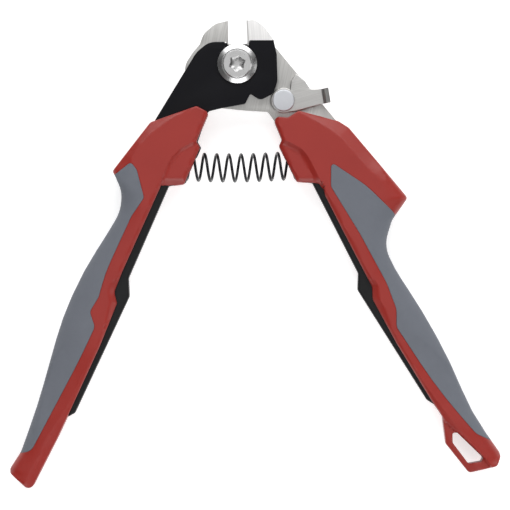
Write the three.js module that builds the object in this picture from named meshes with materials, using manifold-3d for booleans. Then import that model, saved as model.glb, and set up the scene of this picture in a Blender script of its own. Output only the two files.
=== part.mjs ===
// A spring-loaded cable cutter with crossing blades, lying flat and fully open.
// Millimetres. The pivot runs along Z through x = y = 0, +Y points from the pivot to the jaws,
// and z = 0 is the plane that the backs of the handles and the end of the pivot bolt lie in.
import * as THREE from "three";
import { mergeVertices } from "three/addons/utils/BufferGeometryUtils.js";
import Module from "manifold-3d";

const wasm = await Module();
wasm.setup();

// ---- Driving dimensions -------------------------------------------------------------------

const GAP = 0.3; // between pieces that touch on the real tool
const DEPTH = 17; // thickness of the handles, and of the whole tool
const BLADE = 4; // thickness of each blade
const MID = DEPTH / 2; // the plane where the two blades slide on each other
const REAR_BLADE_Z = MID - GAP / 2 - BLADE;
const FRONT_BLADE_Z = MID + GAP / 2;
const BLADE_FACE_Z = FRONT_BLADE_Z + BLADE;

const BOLT_R = 4;
const BOLT_CHAMFER = 0.5;
const BOLT_HEAD_R = 5.3;
const BOLT_HEAD_T = 1.3;
const HEAD_CHAMFER = 0.3;
const TORX_R = 3.4; // over the points
const TORX_WAIST_R = 2.5; // over the hollows
const TORX_POINTS = 6;
const TORX_TURN = 20; // degrees from +X to the first point
const TORX_POINT_ARC = 0.5;
const TORX_WAIST_ARC = 0.7;
const TORX_DEPTH = 2.4;
const CUP_R = 7.35;
const CUP_T = 1.8;
const CUP_RIM = 0.85; // height of the upright outer edge
const CUP_FLOOR = 0.7;
const CUP_LAND = 0.15; // width of the flat ring round the bolt's head
const REAR_WASHER_T = 0.75;
const NUT_AF = 12; // across flats
const NUT_T = 2.7;
const NYLON_R = 5.1;
const NYLON_T = 0.8;

const RIVET = [17.2, -13.6];
const RIVET_R = 2.2;
const RIVET_TAIL_R = 3.2;
const RIVET_HEAD_R = 4.05;
const RIVET_HEAD_T = 1.2;
const LATCH_T = 1.5;
const LATCH_EYE_R = 4.7;
const WAVE_R = 4;
const WAVE_T = 0.4;
const TAB_TOP_Z = 16;
const TAB_T = 1.5;
const TAB_ROOT = 1; // how far the tab reaches back into the arm
const TAB_FOOT = 2.2; // from the end of the arm to the tab's outer face, at the bend
const TAB_LEAN = 2.6; // the same at the top
const TAB_BEND = 0.8; // the outer corner of the bend is cut off by this much
const TAB_ENDS = [[31.2, -9.35], [32.1, -14.8]];

const COIL_R = 5; // to the middle of the wire
const WIRE_R = 0.5;
const COILS = 10;
const SPRING_SAG = 1; // how far the middle of the spring hangs below its ends
const POCKET_R = 6;
const POCKET_BEHIND = 1; // the pocket starts this far behind the end of the wire
const POCKET_RUN = 10.5; // and is open from here to past the block's face
const POST_R = 3.8;
const POST_LENGTH = 2.5; // the posts end inside their pockets
const POST_ROOT = 1.5; // and start inside the cores

const SHELL_BEVEL = 0.8;
const BLOCK_STEP = 1.5; // how far the spring blocks stand back from the handle's faces
const CORE_Z = 3; // the black cores run from here to DEPTH - CORE_Z
const GRIP_INLAY = 1.2; // depth of the soft grip on the front and rear faces
const GRIP_WRAP = 2.5; // thickness of the soft grip round the outer edge
const PIN_R = 1.5;
const PAST = 1; // how far a cut runs on past the face it opens
const ROUND_SIDES = 32;
const PIN_SIDES = 20;
const POCKET_SIDES = 28;

// ---- Finishes -----------------------------------------------------------------------------

function finish(color, roughness, metalness) {
  return new THREE.MeshStandardMaterial({ color, roughness, metalness });
}
const satinSteel = finish(0xbebcb8, 0.35, 1);
const brightSteel = finish(0xd8d8d8, 0.25, 1);
const blackSteel = finish(0x17171d, 0.45, 0.5);
const springSteel = finish(0x1b1c20, 0.4, 0.7);
const redPlastic = finish(0x9e3e36, 0.5, 0);
const blackNylon = finish(0x23262a, 0.6, 0);
const greyRubber = finish(0x6c707a, 0.8, 0);
const whiteNylon = finish(0xd9dde2, 0.5, 0);

// ---- Outlines -----------------------------------------------------------------------------

const SOFT = 1000; // a corner radius that is cut back to what the sides allow, for flowing curves
const ARC_STEP = THREE.MathUtils.degToRad(15);
const HALF_SIDE = 1 / 2.02; // the arcs at its two ends share a side and don't quite meet
const LEAST_REACH = 0.05; // a corner with a shorter arc, or with a smaller turn, stays a point
const LEAST_TURN = 0.01;

const at = ([x, y]) => new THREE.Vector2(x, y);

// Corners [x, y, radius] become a closed line whose corners are arcs.
function rounded(corners) {
  const points = [];
  corners.forEach((corner, i) => {
    const here = at(corner);
    const before = at(corners.at(i - 1));
    const after = at(corners[(i + 1) % corners.length]);
    const back = before.clone().sub(here);
    const on = after.clone().sub(here);
    const half = Math.abs(Math.atan2(back.cross(on), back.dot(on))) / 2;
    const turn = Math.PI - 2 * half;
    const room = HALF_SIDE * Math.min(back.length(), on.length());
    const reach = Math.min((corner[2] ?? 0) / Math.tan(half), room);
    if (reach < LEAST_REACH || turn < LEAST_TURN) {
      points.push(here);
      return;
    }
    const start = here.clone().add(back.setLength(reach));
    const end = here.clone().add(on.setLength(reach));
    const steps = Math.max(1, Math.round(turn / ARC_STEP));
    const curve = new THREE.QuadraticBezierCurve(start, here, end);
    points.push(...curve.getPoints(Math.max(2, steps)));
  });
  return points;
}

// The same corners with each side moved outwards by d, or inwards where d is negative.
function grown(corners, d) {
  const points = corners.map(at);
  const side = THREE.ShapeUtils.isClockWise(points) ? -1 : 1;
  return corners.map((corner, i) => {
    const here = points[i];
    const into = here.clone().sub(points.at(i - 1)).normalize();
    const out = points[(i + 1) % points.length].clone().sub(here).normalize();
    const normalIn = new THREE.Vector2(into.y, -into.x).multiplyScalar(side);
    const normalOut = new THREE.Vector2(out.y, -out.x).multiplyScalar(side);
    const bisector = normalIn.add(normalOut);
    const shift = bisector.multiplyScalar((2 * d) / bisector.lengthSq());
    return [here.x + shift.x, here.y + shift.y, corner[2] ?? 0];
  });
}

const JAW_TIP_Y = 16.1;
const SLOT_FLOOR_Y = 7.4;
const SLOT_HALF = 3.4; // half the open mouth between the two cutting edges

// Left jaw, body and right-hand tang, in one piece of sheet.
const rearBladeOutline = [
  [-SLOT_HALF, JAW_TIP_Y, 0],
  [-8.2, 15, 6],
  [-12.6, 11.2, 6],
  [-13.9, 7.4, 1.5],
  [-16.6, 4.2, 6],
  [-19.2, 0.2, 6],
  [-19.6, -3.6, 6],
  [-15.5, -11, 8],
  [-6, -16.4, 6],
  [3, -17.3, 0],
  [11.4, -17.8, 1.5],
  [14.2, -21.8, 2],
  [27, -31.4, 5],
  [31, -43, 6],
  [38.6, -58.4, SOFT],
  [48, -77, 10],
  [53.4, -88, 1],
  [57, -86.2, 1],
  [51.6, -73, 10],
  [44.4, -60, 12],
  [41.4, -48, 8],
  [43.2, -38, 6],
  [36.9, -21.2, 4],
  [14.2, 6.2, 2],
  [10, 7.6, 1],
  [SLOT_HALF, SLOT_FLOOR_Y, 0.6],
  [-SLOT_HALF, SLOT_FLOOR_Y, 0.6],
];

// Right jaw, body with the latch notch, and left-hand tang.
const frontBladeOutline = [
  [SLOT_HALF, JAW_TIP_Y, 0],
  [SLOT_HALF + 0.4, SLOT_FLOOR_Y, 0.6],
  [-3.1, SLOT_FLOOR_Y - 0.7, 0.5],
  [-4.2, 8.1, 0.8],
  [-10.6, 8.1, 7],
  [-15.2, 4.2, 8],
  [-30.3, -20.6, 4],
  [-36.8, -33, 5],
  [-37.4, -46, 6],
  [-40.4, -61, 10],
  [-47.6, -78, 8],
  [-50.4, -93, 1],
  [-46.8, -94, 1],
  [-44.2, -80, 8],
  [-36.4, -62, 10],
  [-28.4, -43, 6],
  [-25, -31.6, 4],
  [-13.4, -21.4, 3],
  [-10.4, -17.6, 1],
  [-6.2, -16.6, 2],
  [2.9, -14.9, 0.8],
  [4.2, -12.4, 0.6],
  [4.8, -11.1, 0.6],
  [8.6, -13.6, 2.5],
  [13.4, -11, 3],
  [14.9, -6.4, 5],
  [14.7, 3.4, 5],
  [13.4, 9.2, 1],
  [9.8, 14, 6],
  [6.2, 16.4, 3],
];

// The latch's arm and finger, to be joined to the eye round its rivet.
const latchArmOutline = [
  [17.2, -18.2, 0],
  [22, -17.6, 3],
  [31.9, -14.8, 0],
  [30.9, -9.3, 0],
  [27, -9.3, 1.5],
  [25, -6.2, 1],
  [21.9, -3.6, 0.6],
  [20, -6.3, 0.5],
  [19.6, -9.8, 0.4],
  [17.2, -10, 0],
];

const leftHandleOutline = [
  [-32.2, -21.8, 2.5],
  [-15.1, -15.8, 1.2],
  [-10.5, -18.2, 1.3],
  [-15.1, -29, 1.3],
  [-13.7, -31.1, 1.3],
  [-19.7, -44.8, 1.3],
  [-25.4, -45.5, 1.3],
  [-28.2, -45.2, 0.4],
  [-42.6, -77.2, 20],
  [-45.6, -84.8, 4],
  [-44.5, -88.8, 2],
  [-51, -105, 30],
  [-61.5, -127.8, 10],
  [-66.2, -138, 10],
  [-76.7, -158.7, 1.3],
  [-85, -151.2, 1.4],
  [-80.3, -144, 8],
  [-74.2, -127, SOFT],
  [-69.5, -110.3, SOFT],
  [-64.9, -94, SOFT],
  [-57.2, -77, SOFT],
  [-47.6, -62, SOFT],
  [-43.4, -54.8, SOFT],
  [-42.8, -47.4, SOFT],
  [-45.2, -41.9, 2],
  [-46.3, -39.9, 1.2],
];

// The black core shows as a step along the inner edge, and it makes the face that the spring pushes on.
const leftCoreOutline = [
  [-13.2, -24.6, 0],
  [-14.7, -29, 0.6],
  [-13.4, -31.1, 0.6],
  [-19.2, -44.3, 0],
  [-25.4, -45.5, 0.5],
  [-40.3, -79.6, 2],
  [-40, -86.4, 2],
  [-60.2, -129.6, 1],
  [-62.6, -131, 0],
  [-62.2, -127, 2],
  [-54, -108, 10],
  [-51.8, -94, 6],
  [-49.6, -78, 8],
  [-41.4, -60.6, 10],
  [-39.2, -46, 6],
  [-38.8, -33, 6],
  [-32, -24.4, 0],
];

const leftGripEdge = [
  [-60, -36, 0],
  [-45.6, -41.4, 0],
  [-39.4, -36.6, 1.2],
  [-37.2, -39.4, 3],
  [-34.5, -49.8, 2],
  [-39.2, -56.6, 12],
  [-48.9, -77.8, SOFT],
  [-51.3, -86.6, 4],
  [-54.6, -92, 2.5],
  [-52.7, -97.6, 3],
  [-57.8, -108.6, SOFT],
  [-67.4, -126.8, SOFT],
  [-76.4, -143.8, 2.5],
  [-82, -144.6, 0],
  [-110, -140, 0],
];

const leftBlockOutline = [
  [-9, -28.6, 0],
  [-15.4, -28.7, 2],
  [-24.6, -33.4, 8],
  [-28.1, -45.4, 2],
  [-26, -50, 0],
  [-9, -50, 0],
];

const rightHandleOutline = [
  [12.9, -19.5, 2],
  [18.8, -20.1, 2.5],
  [22.8, -17.5, 2],
  [37.6, -21.4, 3],
  [41.4, -23.8, 3],
  [63.3, -49.8, 1.4],
  [57.5, -58, 8],
  [54.6, -67.5, SOFT],
  [58.4, -76, SOFT],
  [69, -92, SOFT],
  [79.4, -111, SOFT],
  [86.8, -129.2, SOFT],
  [98, -145, 1.6],
  [96.4, -149.3, 1.3],
  [86, -151.8, 1.2],
  [77.4, -141, 1.2],
  [76.2, -131, 1],
  [72, -124.9, 10],
  [59, -103.6, 30],
  [50.2, -87.4, 3],
  [50, -82.8, 3],
  [38.6, -60.8, 40],
  [30.4, -44.6, 0.4],
  [27.9, -44.3, 1.3],
  [22.1, -43.9, 1.3],
  [15.4, -30.6, 1.3],
  [16.5, -28.3, 1.3],
];

const rightCoreOutline = [
  [15.3, -24.6, 0],
  [16.9, -28.4, 0.6],
  [16, -30.6, 0.6],
  [22.7, -43.5, 0],
  [27.9, -44.4, 0.5],
  [44.9, -77.8, 2],
  [44.7, -84, 2],
  [70.4, -124.8, 1],
  [73.2, -126.6, 0],
  [69.6, -119.4, 5],
  [59, -97, 10],
  [58.2, -86, 2],
  [54, -75, 8],
  [46.4, -60, 10],
  [43.4, -48, 8],
  [45, -38.4, 5],
  [36, -24.4, 0],
];

const rightGripEdge = [
  [59.6, -57.4, 0],
  [57.6, -54.8, 0],
  [48, -45.4, 30],
  [34.8, -36.6, 1],
  [34.7, -45.6, 3],
  [45.4, -63, 40],
  [55.4, -81.4, 20],
  [59, -91, 8],
  [59, -97.6, 4],
  [72, -117.3, SOFT],
  [81, -128.6, SOFT],
  [88.6, -137.2, 5],
  [96, -140.6, 0],
  [115, -141, 0],
  [90, -75, 0],
];

const rightBlockOutline = [
  [10, -28.2, 0],
  [16.6, -28.2, 2],
  [25.4, -31.6, 7],
  [31.6, -45, 2],
  [30, -50, 0],
  [10, -50, 0],
];

const loopHoleOutline = [
  [79.8, -136.9, 0.8],
  [81.6, -136.9, 0.6],
  [91.2, -146.2, 0.8],
  [90.4, -147.6, 0.6],
  [85.8, -148.4, 0.8],
  [79.9, -140.6, 1.5],
];

// ---- Solids -------------------------------------------------------------------------------

function solidOf(geometry) {
  geometry.deleteAttribute("normal");
  geometry.deleteAttribute("uv");
  const merged = mergeVertices(geometry, 1e-4);
  const vertProperties = merged.attributes.position.array;
  const triVerts = new Uint32Array(merged.index.array);
  return new wasm.Manifold(new wasm.Mesh({ numProp: 3, vertProperties, triVerts }));
}

function plate(corners, low, high, bevel = 0) {
  const geometry = new THREE.ExtrudeGeometry(new THREE.Shape(rounded(corners)), {
    depth: high - low - 2 * bevel,
    bevelEnabled: bevel > 0,
    bevelThickness: bevel,
    bevelSize: bevel,
    bevelOffset: -bevel,
    bevelSegments: 2,
  });
  return solidOf(geometry.translate(0, 0, low + bevel));
}

function disc(x, y, radius, low, high, sides = ROUND_SIDES) {
  const geometry = new THREE.CylinderGeometry(radius, radius, high - low, sides);
  return solidOf(geometry.rotateX(Math.PI / 2).translate(x, y, (low + high) / 2));
}

// A turned piece: profile points are [radius, z], and the last joins the first.
function turned(profile) {
  const points = [...profile, profile[0]].map(at);
  return solidOf(new THREE.LatheGeometry(points, ROUND_SIDES).rotateX(Math.PI / 2));
}

const EVERYWHERE = 400;
function slab(low, high) {
  const box = new THREE.BoxGeometry(EVERYWHERE, EVERYWHERE, high - low);
  return solidOf(box.translate(0, 0, (low + high) / 2));
}

const assembly = new THREE.Group();
assembly.name = "cable_cutter";

function add(name, solid, material) {
  const { vertProperties, triVerts } = solid.getMesh();
  const geometry = new THREE.BufferGeometry();
  geometry.setAttribute("position", new THREE.BufferAttribute(vertProperties, 3));
  geometry.setIndex(new THREE.BufferAttribute(triVerts, 1));
  geometry.computeVertexNormals();
  const mesh = new THREE.Mesh(geometry, material);
  mesh.name = name;
  assembly.add(mesh);
}

// ---- Blades -------------------------------------------------------------------------------

const leftPin = [-37.2, -55];
const rightPin = [40.6, -55];

const pivotHole = disc(0, 0, BOLT_R + GAP, -PAST, DEPTH);
const pinHole = ([x, y]) => disc(x, y, PIN_R + GAP, 0, DEPTH, PIN_SIDES);
const rivetHole = disc(...RIVET, RIVET_R + GAP, 0, DEPTH);

const rearBlade = plate(rearBladeOutline, REAR_BLADE_Z, REAR_BLADE_Z + BLADE)
  .subtract(pivotHole)
  .subtract(rivetHole)
  .subtract(pinHole(rightPin));
add("rear_blade", rearBlade, satinSteel);

const frontBlade = plate(frontBladeOutline, FRONT_BLADE_Z, BLADE_FACE_Z)
  .subtract(pivotHole)
  .subtract(pinHole(leftPin));
add("front_blade", frontBlade, blackSteel);

// ---- Pivot --------------------------------------------------------------------------------

// The six-lobed socket, as a polygon with one outer and one inner point for each lobe.
function torx(low, high) {
  const corners = Array.from({ length: 2 * TORX_POINTS }, (_, i) => {
    const angle = THREE.MathUtils.degToRad(TORX_TURN) + (i * Math.PI) / TORX_POINTS;
    const [r, arc] = i % 2 ? [TORX_WAIST_R, TORX_WAIST_ARC] : [TORX_R, TORX_POINT_ARC];
    return [r * Math.cos(angle), r * Math.sin(angle), arc];
  });
  return plate(corners, low, high);
}

// A flat ring that the bolt goes through.
const ring = (radius, low, high) => disc(0, 0, radius, low, high).subtract(pivotHole);

const cupLow = BLADE_FACE_Z + GAP;
const headLow = cupLow + CUP_FLOOR + GAP;
const headHigh = headLow + BOLT_HEAD_T;

const bolt = turned([
  [0, 0],
  [BOLT_R - BOLT_CHAMFER, 0],
  [BOLT_R, BOLT_CHAMFER],
  [BOLT_R, headLow],
  [BOLT_HEAD_R, headLow],
  [BOLT_HEAD_R, headHigh - HEAD_CHAMFER],
  [BOLT_HEAD_R - HEAD_CHAMFER, headHigh],
  [0, headHigh],
]).subtract(torx(headHigh - TORX_DEPTH, headHigh + PAST));
add("pivot_bolt", bolt, brightSteel);

const cupWasher = turned([
  [BOLT_R + GAP, cupLow],
  [CUP_R, cupLow],
  [CUP_R, cupLow + CUP_RIM],
  [BOLT_HEAD_R + GAP + CUP_LAND, cupLow + CUP_T],
  [BOLT_HEAD_R + GAP, cupLow + CUP_T],
  [BOLT_HEAD_R + GAP, cupLow + CUP_FLOOR],
  [BOLT_R + GAP, cupLow + CUP_FLOOR],
]);
add("pivot_cup_washer", cupWasher, brightSteel);

const washerHigh = REAR_BLADE_Z - GAP;
const washerLow = washerHigh - REAR_WASHER_T;
const rearWasher = ring(CUP_R, washerLow, washerHigh);
add("pivot_rear_washer", rearWasher, satinSteel);

const nutHigh = washerLow - GAP;
const nutLow = nutHigh - NUT_T;
const nut = disc(0, 0, NUT_AF / 2 / Math.cos(Math.PI / 6), nutLow, nutHigh, 6)
  .subtract(pivotHole)
  .subtract(disc(0, 0, NYLON_R + GAP, nutLow - PAST, nutLow + NYLON_T + GAP));
add("pivot_nut", nut, satinSteel);

const nylonRing = ring(NYLON_R, nutLow, nutLow + NYLON_T);
add("nut_nylon_ring", nylonRing, whiteNylon);

// ---- Latch --------------------------------------------------------------------------------

const waveLow = FRONT_BLADE_Z;
const latchLow = waveLow + WAVE_T + GAP;
const latchHigh = latchLow + LATCH_T;

const waveWasher = disc(...RIVET, WAVE_R, waveLow, waveLow + WAVE_T).subtract(rivetHole);
add("latch_wave_washer", waveWasher, satinSteel);

// The thumb tab is the end of the plate bent up and a little outwards.
function thumbTab() {
  const side = [
    [-TAB_ROOT, latchLow],
    [TAB_FOOT - TAB_BEND, latchLow],
    [TAB_FOOT, latchLow + TAB_BEND],
    [TAB_LEAN, TAB_TOP_Z],
    [TAB_LEAN - TAB_T, TAB_TOP_Z],
    [TAB_FOOT - TAB_T, latchHigh],
    [-TAB_ROOT, latchHigh],
  ];
  const [top, foot] = TAB_ENDS.map(at);
  const geometry = new THREE.ExtrudeGeometry(new THREE.Shape(side.map(at)), {
    depth: top.distanceTo(foot),
    bevelEnabled: false,
  });
  const along = new THREE.Vector3(top.x - foot.x, top.y - foot.y, 0).normalize();
  const up = new THREE.Vector3(0, 0, 1);
  const outward = new THREE.Vector3().crossVectors(up, along).negate();
  const upright = new THREE.Matrix4().makeBasis(outward, up, along.clone().negate());
  geometry.applyMatrix4(upright).translate(top.x, top.y, 0);
  return solidOf(geometry);
}

const latch = disc(...RIVET, LATCH_EYE_R, latchLow, latchHigh)
  .add(plate(latchArmOutline, latchLow, latchHigh))
  .add(thumbTab())
  .subtract(rivetHole);
add("latch_lever", latch, satinSteel);

const rivetHeadLow = latchHigh + GAP;
const rivet = disc(...RIVET, RIVET_R, washerLow, rivetHeadLow + RIVET_HEAD_T)
  .add(disc(...RIVET, RIVET_HEAD_R, rivetHeadLow, rivetHeadLow + RIVET_HEAD_T))
  .add(disc(...RIVET, RIVET_TAIL_R, washerLow, washerHigh));
add("latch_rivet", rivet, brightSteel);

// ---- Spring -------------------------------------------------------------------------------

const springLeft = new THREE.Vector3(-21.2, -37.9, MID);
const springRight = new THREE.Vector3(24, -37.3, MID);

// The coil runs along a shallow arc between the two spring blocks.
class Coil extends THREE.Curve {
  getPoint(t) {
    const centre = springLeft.clone().lerp(springRight, t);
    centre.y -= SPRING_SAG * 4 * t * (1 - t);
    const angle = 2 * Math.PI * COILS * t;
    centre.y += COIL_R * Math.cos(angle);
    centre.z += COIL_R * Math.sin(angle);
    return centre;
  }
}
const SPRING_STEPS = 12; // along each turn
const WIRE_SIDES = 6;
const wireSection = new THREE.Shape(
  Array.from({ length: WIRE_SIDES }, (_, i) => {
    const angle = (2 * Math.PI * i) / WIRE_SIDES;
    return at([WIRE_R * Math.cos(angle), WIRE_R * Math.sin(angle)]);
  }),
);
const spring = new THREE.ExtrudeGeometry(wireSection, {
  steps: COILS * SPRING_STEPS,
  extrudePath: new Coil(),
});
add("return_spring", solidOf(spring), springSteel);

// A round pocket in a spring block with a post in the middle, and the space that it takes.
function springSeat(end, into) {
  const direction = new THREE.Vector3(into, 0, 0);
  const bar = (radius, from, to, sides) => {
    const geometry = new THREE.CylinderGeometry(radius, radius, to - from, sides);
    geometry.rotateZ(Math.PI / 2);
    const centre = end.clone().addScaledVector(direction, (from + to) / 2);
    return solidOf(geometry.translate(centre.x, centre.y, centre.z));
  };
  return {
    pocket: bar(POCKET_R, -POCKET_BEHIND, POCKET_RUN, POCKET_SIDES),
    post: bar(POST_R, -POST_ROOT, POST_LENGTH, PIN_SIDES),
  };
}

// ---- Handles ------------------------------------------------------------------------------

function handle(side, parts) {
  const { outline, coreOutline, gripEdge, blockOutline, bladeOutline, bladeLow, pin, seat, loop } = parts;
  const tangSpace = plate(grown(bladeOutline, GAP), bladeLow - GAP, bladeLow + BLADE + GAP);

  const core = plate(coreOutline, CORE_Z, DEPTH - CORE_Z)
    .subtract(seat.pocket)
    .add(seat.post)
    .subtract(tangSpace)
    .subtract(pinHole(pin));
  add(`${side}_handle_core`, core, blackNylon);
  add(`${side}_tang_pin`, disc(...pin, PIN_R, CORE_Z, DEPTH - CORE_Z, PIN_SIDES), satinSteel);

  let envelope = plate(outline, 0, DEPTH, SHELL_BEVEL);
  const through = (corners) => plate(corners, -PAST, DEPTH + PAST);
  const block = through(blockOutline);
  envelope = envelope
    .subtract(block.intersect(slab(-PAST, BLOCK_STEP)))
    .subtract(block.intersect(slab(DEPTH - BLOCK_STEP, DEPTH + PAST)));
  if (loop) envelope = envelope.subtract(through(loop));

  const inside = (d, z) => plate(grown(outline, -d), z, DEPTH - z);
  const grip = envelope
    .intersect(through(grown(gripEdge, -GAP / 2)))
    .subtract(inside(GRIP_WRAP, GRIP_INLAY));
  add(`${side}_grip`, grip, greyRubber);

  const shell = envelope
    .subtract(through(grown(gripEdge, GAP / 2)))
    .add(inside(GRIP_WRAP + GAP, GRIP_INLAY + GAP).intersect(through(grown(gripEdge, GAP))))
    .subtract(plate(grown(coreOutline, GAP), CORE_Z - GAP, DEPTH - CORE_Z + GAP))
    .subtract(seat.pocket)
    .subtract(tangSpace);
  add(`${side}_front_shell`, shell.intersect(slab(MID + GAP / 2, DEPTH)), redPlastic);
  add(`${side}_rear_shell`, shell.intersect(slab(0, MID - GAP / 2)), redPlastic);
}

handle("left", {
  outline: leftHandleOutline,
  coreOutline: leftCoreOutline,
  gripEdge: leftGripEdge,
  blockOutline: leftBlockOutline,
  bladeOutline: frontBladeOutline,
  bladeLow: FRONT_BLADE_Z,
  pin: leftPin,
  seat: springSeat(springLeft, 1),
});

handle("right", {
  outline: rightHandleOutline,
  coreOutline: rightCoreOutline,
  gripEdge: rightGripEdge,
  blockOutline: rightBlockOutline,
  bladeOutline: rearBladeOutline,
  bladeLow: REAR_BLADE_Z,
  pin: rightPin,
  seat: springSeat(springRight, -1),
  loop: loopHoleOutline,
});

export default assembly;
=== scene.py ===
# %% [markdown]
# # A cable cutter, cell by cell
# The tool lies flat and open. Its two blades cross at a bolt, a coil spring holds the handles apart, and
# a small thumb latch can hold them shut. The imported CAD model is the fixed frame: it gives every place,
# every joint and the whole size. The cells below build the surface that the eye sees around it.

# %% Load the frame
import math

import bmesh
import bpy
import numpy as np
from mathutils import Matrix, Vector
from mathutils.geometry import delaunay_2d_cdt


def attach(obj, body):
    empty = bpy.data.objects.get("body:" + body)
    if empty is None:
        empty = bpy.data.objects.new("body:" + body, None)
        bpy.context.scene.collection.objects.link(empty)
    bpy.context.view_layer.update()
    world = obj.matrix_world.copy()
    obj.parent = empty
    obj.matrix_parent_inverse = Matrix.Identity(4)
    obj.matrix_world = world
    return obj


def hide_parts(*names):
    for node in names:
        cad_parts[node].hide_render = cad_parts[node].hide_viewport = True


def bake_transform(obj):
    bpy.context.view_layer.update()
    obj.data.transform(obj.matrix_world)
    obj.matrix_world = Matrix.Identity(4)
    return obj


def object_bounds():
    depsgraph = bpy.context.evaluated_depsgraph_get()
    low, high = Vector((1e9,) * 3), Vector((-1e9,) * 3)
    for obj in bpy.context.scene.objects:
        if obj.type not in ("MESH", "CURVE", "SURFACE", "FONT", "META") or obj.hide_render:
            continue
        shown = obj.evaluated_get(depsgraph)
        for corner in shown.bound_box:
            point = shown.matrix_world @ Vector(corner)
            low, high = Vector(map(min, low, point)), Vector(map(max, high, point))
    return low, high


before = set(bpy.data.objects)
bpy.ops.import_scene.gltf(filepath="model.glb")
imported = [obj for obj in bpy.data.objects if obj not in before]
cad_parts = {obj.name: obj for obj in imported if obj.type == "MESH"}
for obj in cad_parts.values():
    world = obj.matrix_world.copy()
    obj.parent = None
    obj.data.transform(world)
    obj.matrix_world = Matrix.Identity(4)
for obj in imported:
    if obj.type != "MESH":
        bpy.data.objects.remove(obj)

CAD_LOW, CAD_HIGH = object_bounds()
MM = 0.001


def placed(name, data):
    """A new object with its data, in the scene at the origin."""
    obj = bpy.data.objects.new(name, data)
    bpy.context.scene.collection.objects.link(obj)
    return obj


print("CAD box, mm:", [round(v / MM, 1) for v in (*CAD_LOW, *CAD_HIGH)])

# %% [markdown]
# ## The camera
# The tool is seen from straight above its middle, from two metres away through a long lens, so that its
# upright walls hardly show. The lens is worked out from the width that the view takes in, measured in a
# plane near the handles' front faces.

# %% Camera
VIEW_CENTRE = (6.6, -71.0)
VIEW_WIDTH = 189.2
VIEW_DISTANCE = 2000.0
VIEW_PLANE = 13.0
SENSOR = 36.0

camera_data = bpy.data.cameras.new("camera")
camera_data.sensor_width = SENSOR
camera_data.lens = SENSOR * VIEW_DISTANCE / VIEW_WIDTH
camera_data.clip_start = 0.01
camera_data.clip_end = 10.0
camera = placed("camera", camera_data)
camera.location = Vector((*VIEW_CENTRE, VIEW_PLANE + VIEW_DISTANCE)) * MM
bpy.context.scene.camera = camera
print("lens, mm:", round(camera_data.lens, 1))

# %% [markdown]
# ## Light and floor
# Shiny flat steel only shows what it mirrors, so the light comes from broad soft panels, as in a light
# tent: one overhead that the flat faces mirror, and brighter ones beyond the jaws and beyond the handles'
# ends. Left and right stay dim, so that the round sides of the handles fall off into shade; one small low
# panel on the right only picks out the edges that face it. The floor is a plain pale sheet under the tool.

# %% Studio
STAGE = Vector((*VIEW_CENTRE, 0)) * MM
FLOOR_DROP = 0.05 * MM
WORLD_STRENGTH = 0.1


def soft_panel(name, place, size, power):
    """A lamp of a width and a height at a place in metres from the stage's middle, turned towards it."""
    data = bpy.data.lights.new(name, "AREA")
    data.shape = "RECTANGLE"
    data.size, data.size_y = size
    data.energy = power
    lamp = placed(name, data)
    lamp.location = STAGE + Vector(place)
    lamp.rotation_euler = (-Vector(place)).to_track_quat("-Z", "Y").to_euler()


soft_panel("overhead", (0.0, 0.1, 1.3), (0.9, 0.9), 1.9)
soft_panel("from_the_top", (0.0, 0.88, 0.75), (1.6, 0.85), 14.5)
soft_panel("from_below", (0.1, -0.9, 0.7), (1.0, 0.9), 7.8)
soft_panel("low_from_the_right", (1.1, -0.15, 0.3), (0.5, 0.5), 1.6)

world = bpy.data.worlds.new("studio")
world.use_nodes = True
background = world.node_tree.nodes["Background"]
background.inputs["Color"].default_value = (1, 1, 1, 1)
background.inputs["Strength"].default_value = WORLD_STRENGTH
bpy.context.scene.world = world
bpy.context.scene.view_settings.view_transform = "Standard"

# %% [markdown]
# ## Outlines
# Nearly every piece starts as an outline drawn with a few corners, as on a drawing board: x, y and the
# radius of the arc that rounds the corner. A radius larger than the sides allow is cut back until the
# arcs almost meet, which is how a flowing curve is drawn with few points.

# %% Outline helpers
SOFT = 1000.0
ARC_STEP = math.radians(6)
SIDE_PARTS = 2.01


def rounded(corners, closed=True):
    """Corners (x, y, radius) in mm as a line of points with arcs at the corners."""
    places = [np.array(c[:2], float) for c in corners]
    radii = [c[2] if len(c) > 2 else 0.0 for c in corners]
    line = []
    for i, here in enumerate(places):
        inner = closed or 0 < i < len(places) - 1
        if not inner or radii[i] == 0:
            line.append(here)
            continue
        back = places[i - 1] - here
        on = places[(i + 1) % len(places)] - here
        back_length = np.linalg.norm(back)
        on_length = np.linalg.norm(on)
        cosine = back @ on / back_length / on_length
        half = math.acos(max(-1.0, min(1.0, cosine))) / 2
        turn = math.pi - 2 * half
        room = min(back_length, on_length) / SIDE_PARTS
        cut = min(radii[i] / math.tan(half), room)
        radius = cut * math.tan(half)
        start = here + back / back_length * cut
        end = here + on / on_length * cut
        middle = (start + end) / 2
        centre = here + (middle - here) / np.linalg.norm(middle - here) * radius / math.sin(half)
        steps = max(2, round(turn / ARC_STEP))
        first = math.atan2(*(start - centre)[::-1])
        sweep = math.atan2(*(end - centre)[::-1]) - first
        sweep = (sweep + math.pi) % (2 * math.pi) - math.pi
        angles = first + sweep * np.linspace(0, 1, steps + 1)
        line.extend(centre + radius * np.array([math.cos(a), math.sin(a)]) for a in angles)
    return np.array(line)


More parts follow.
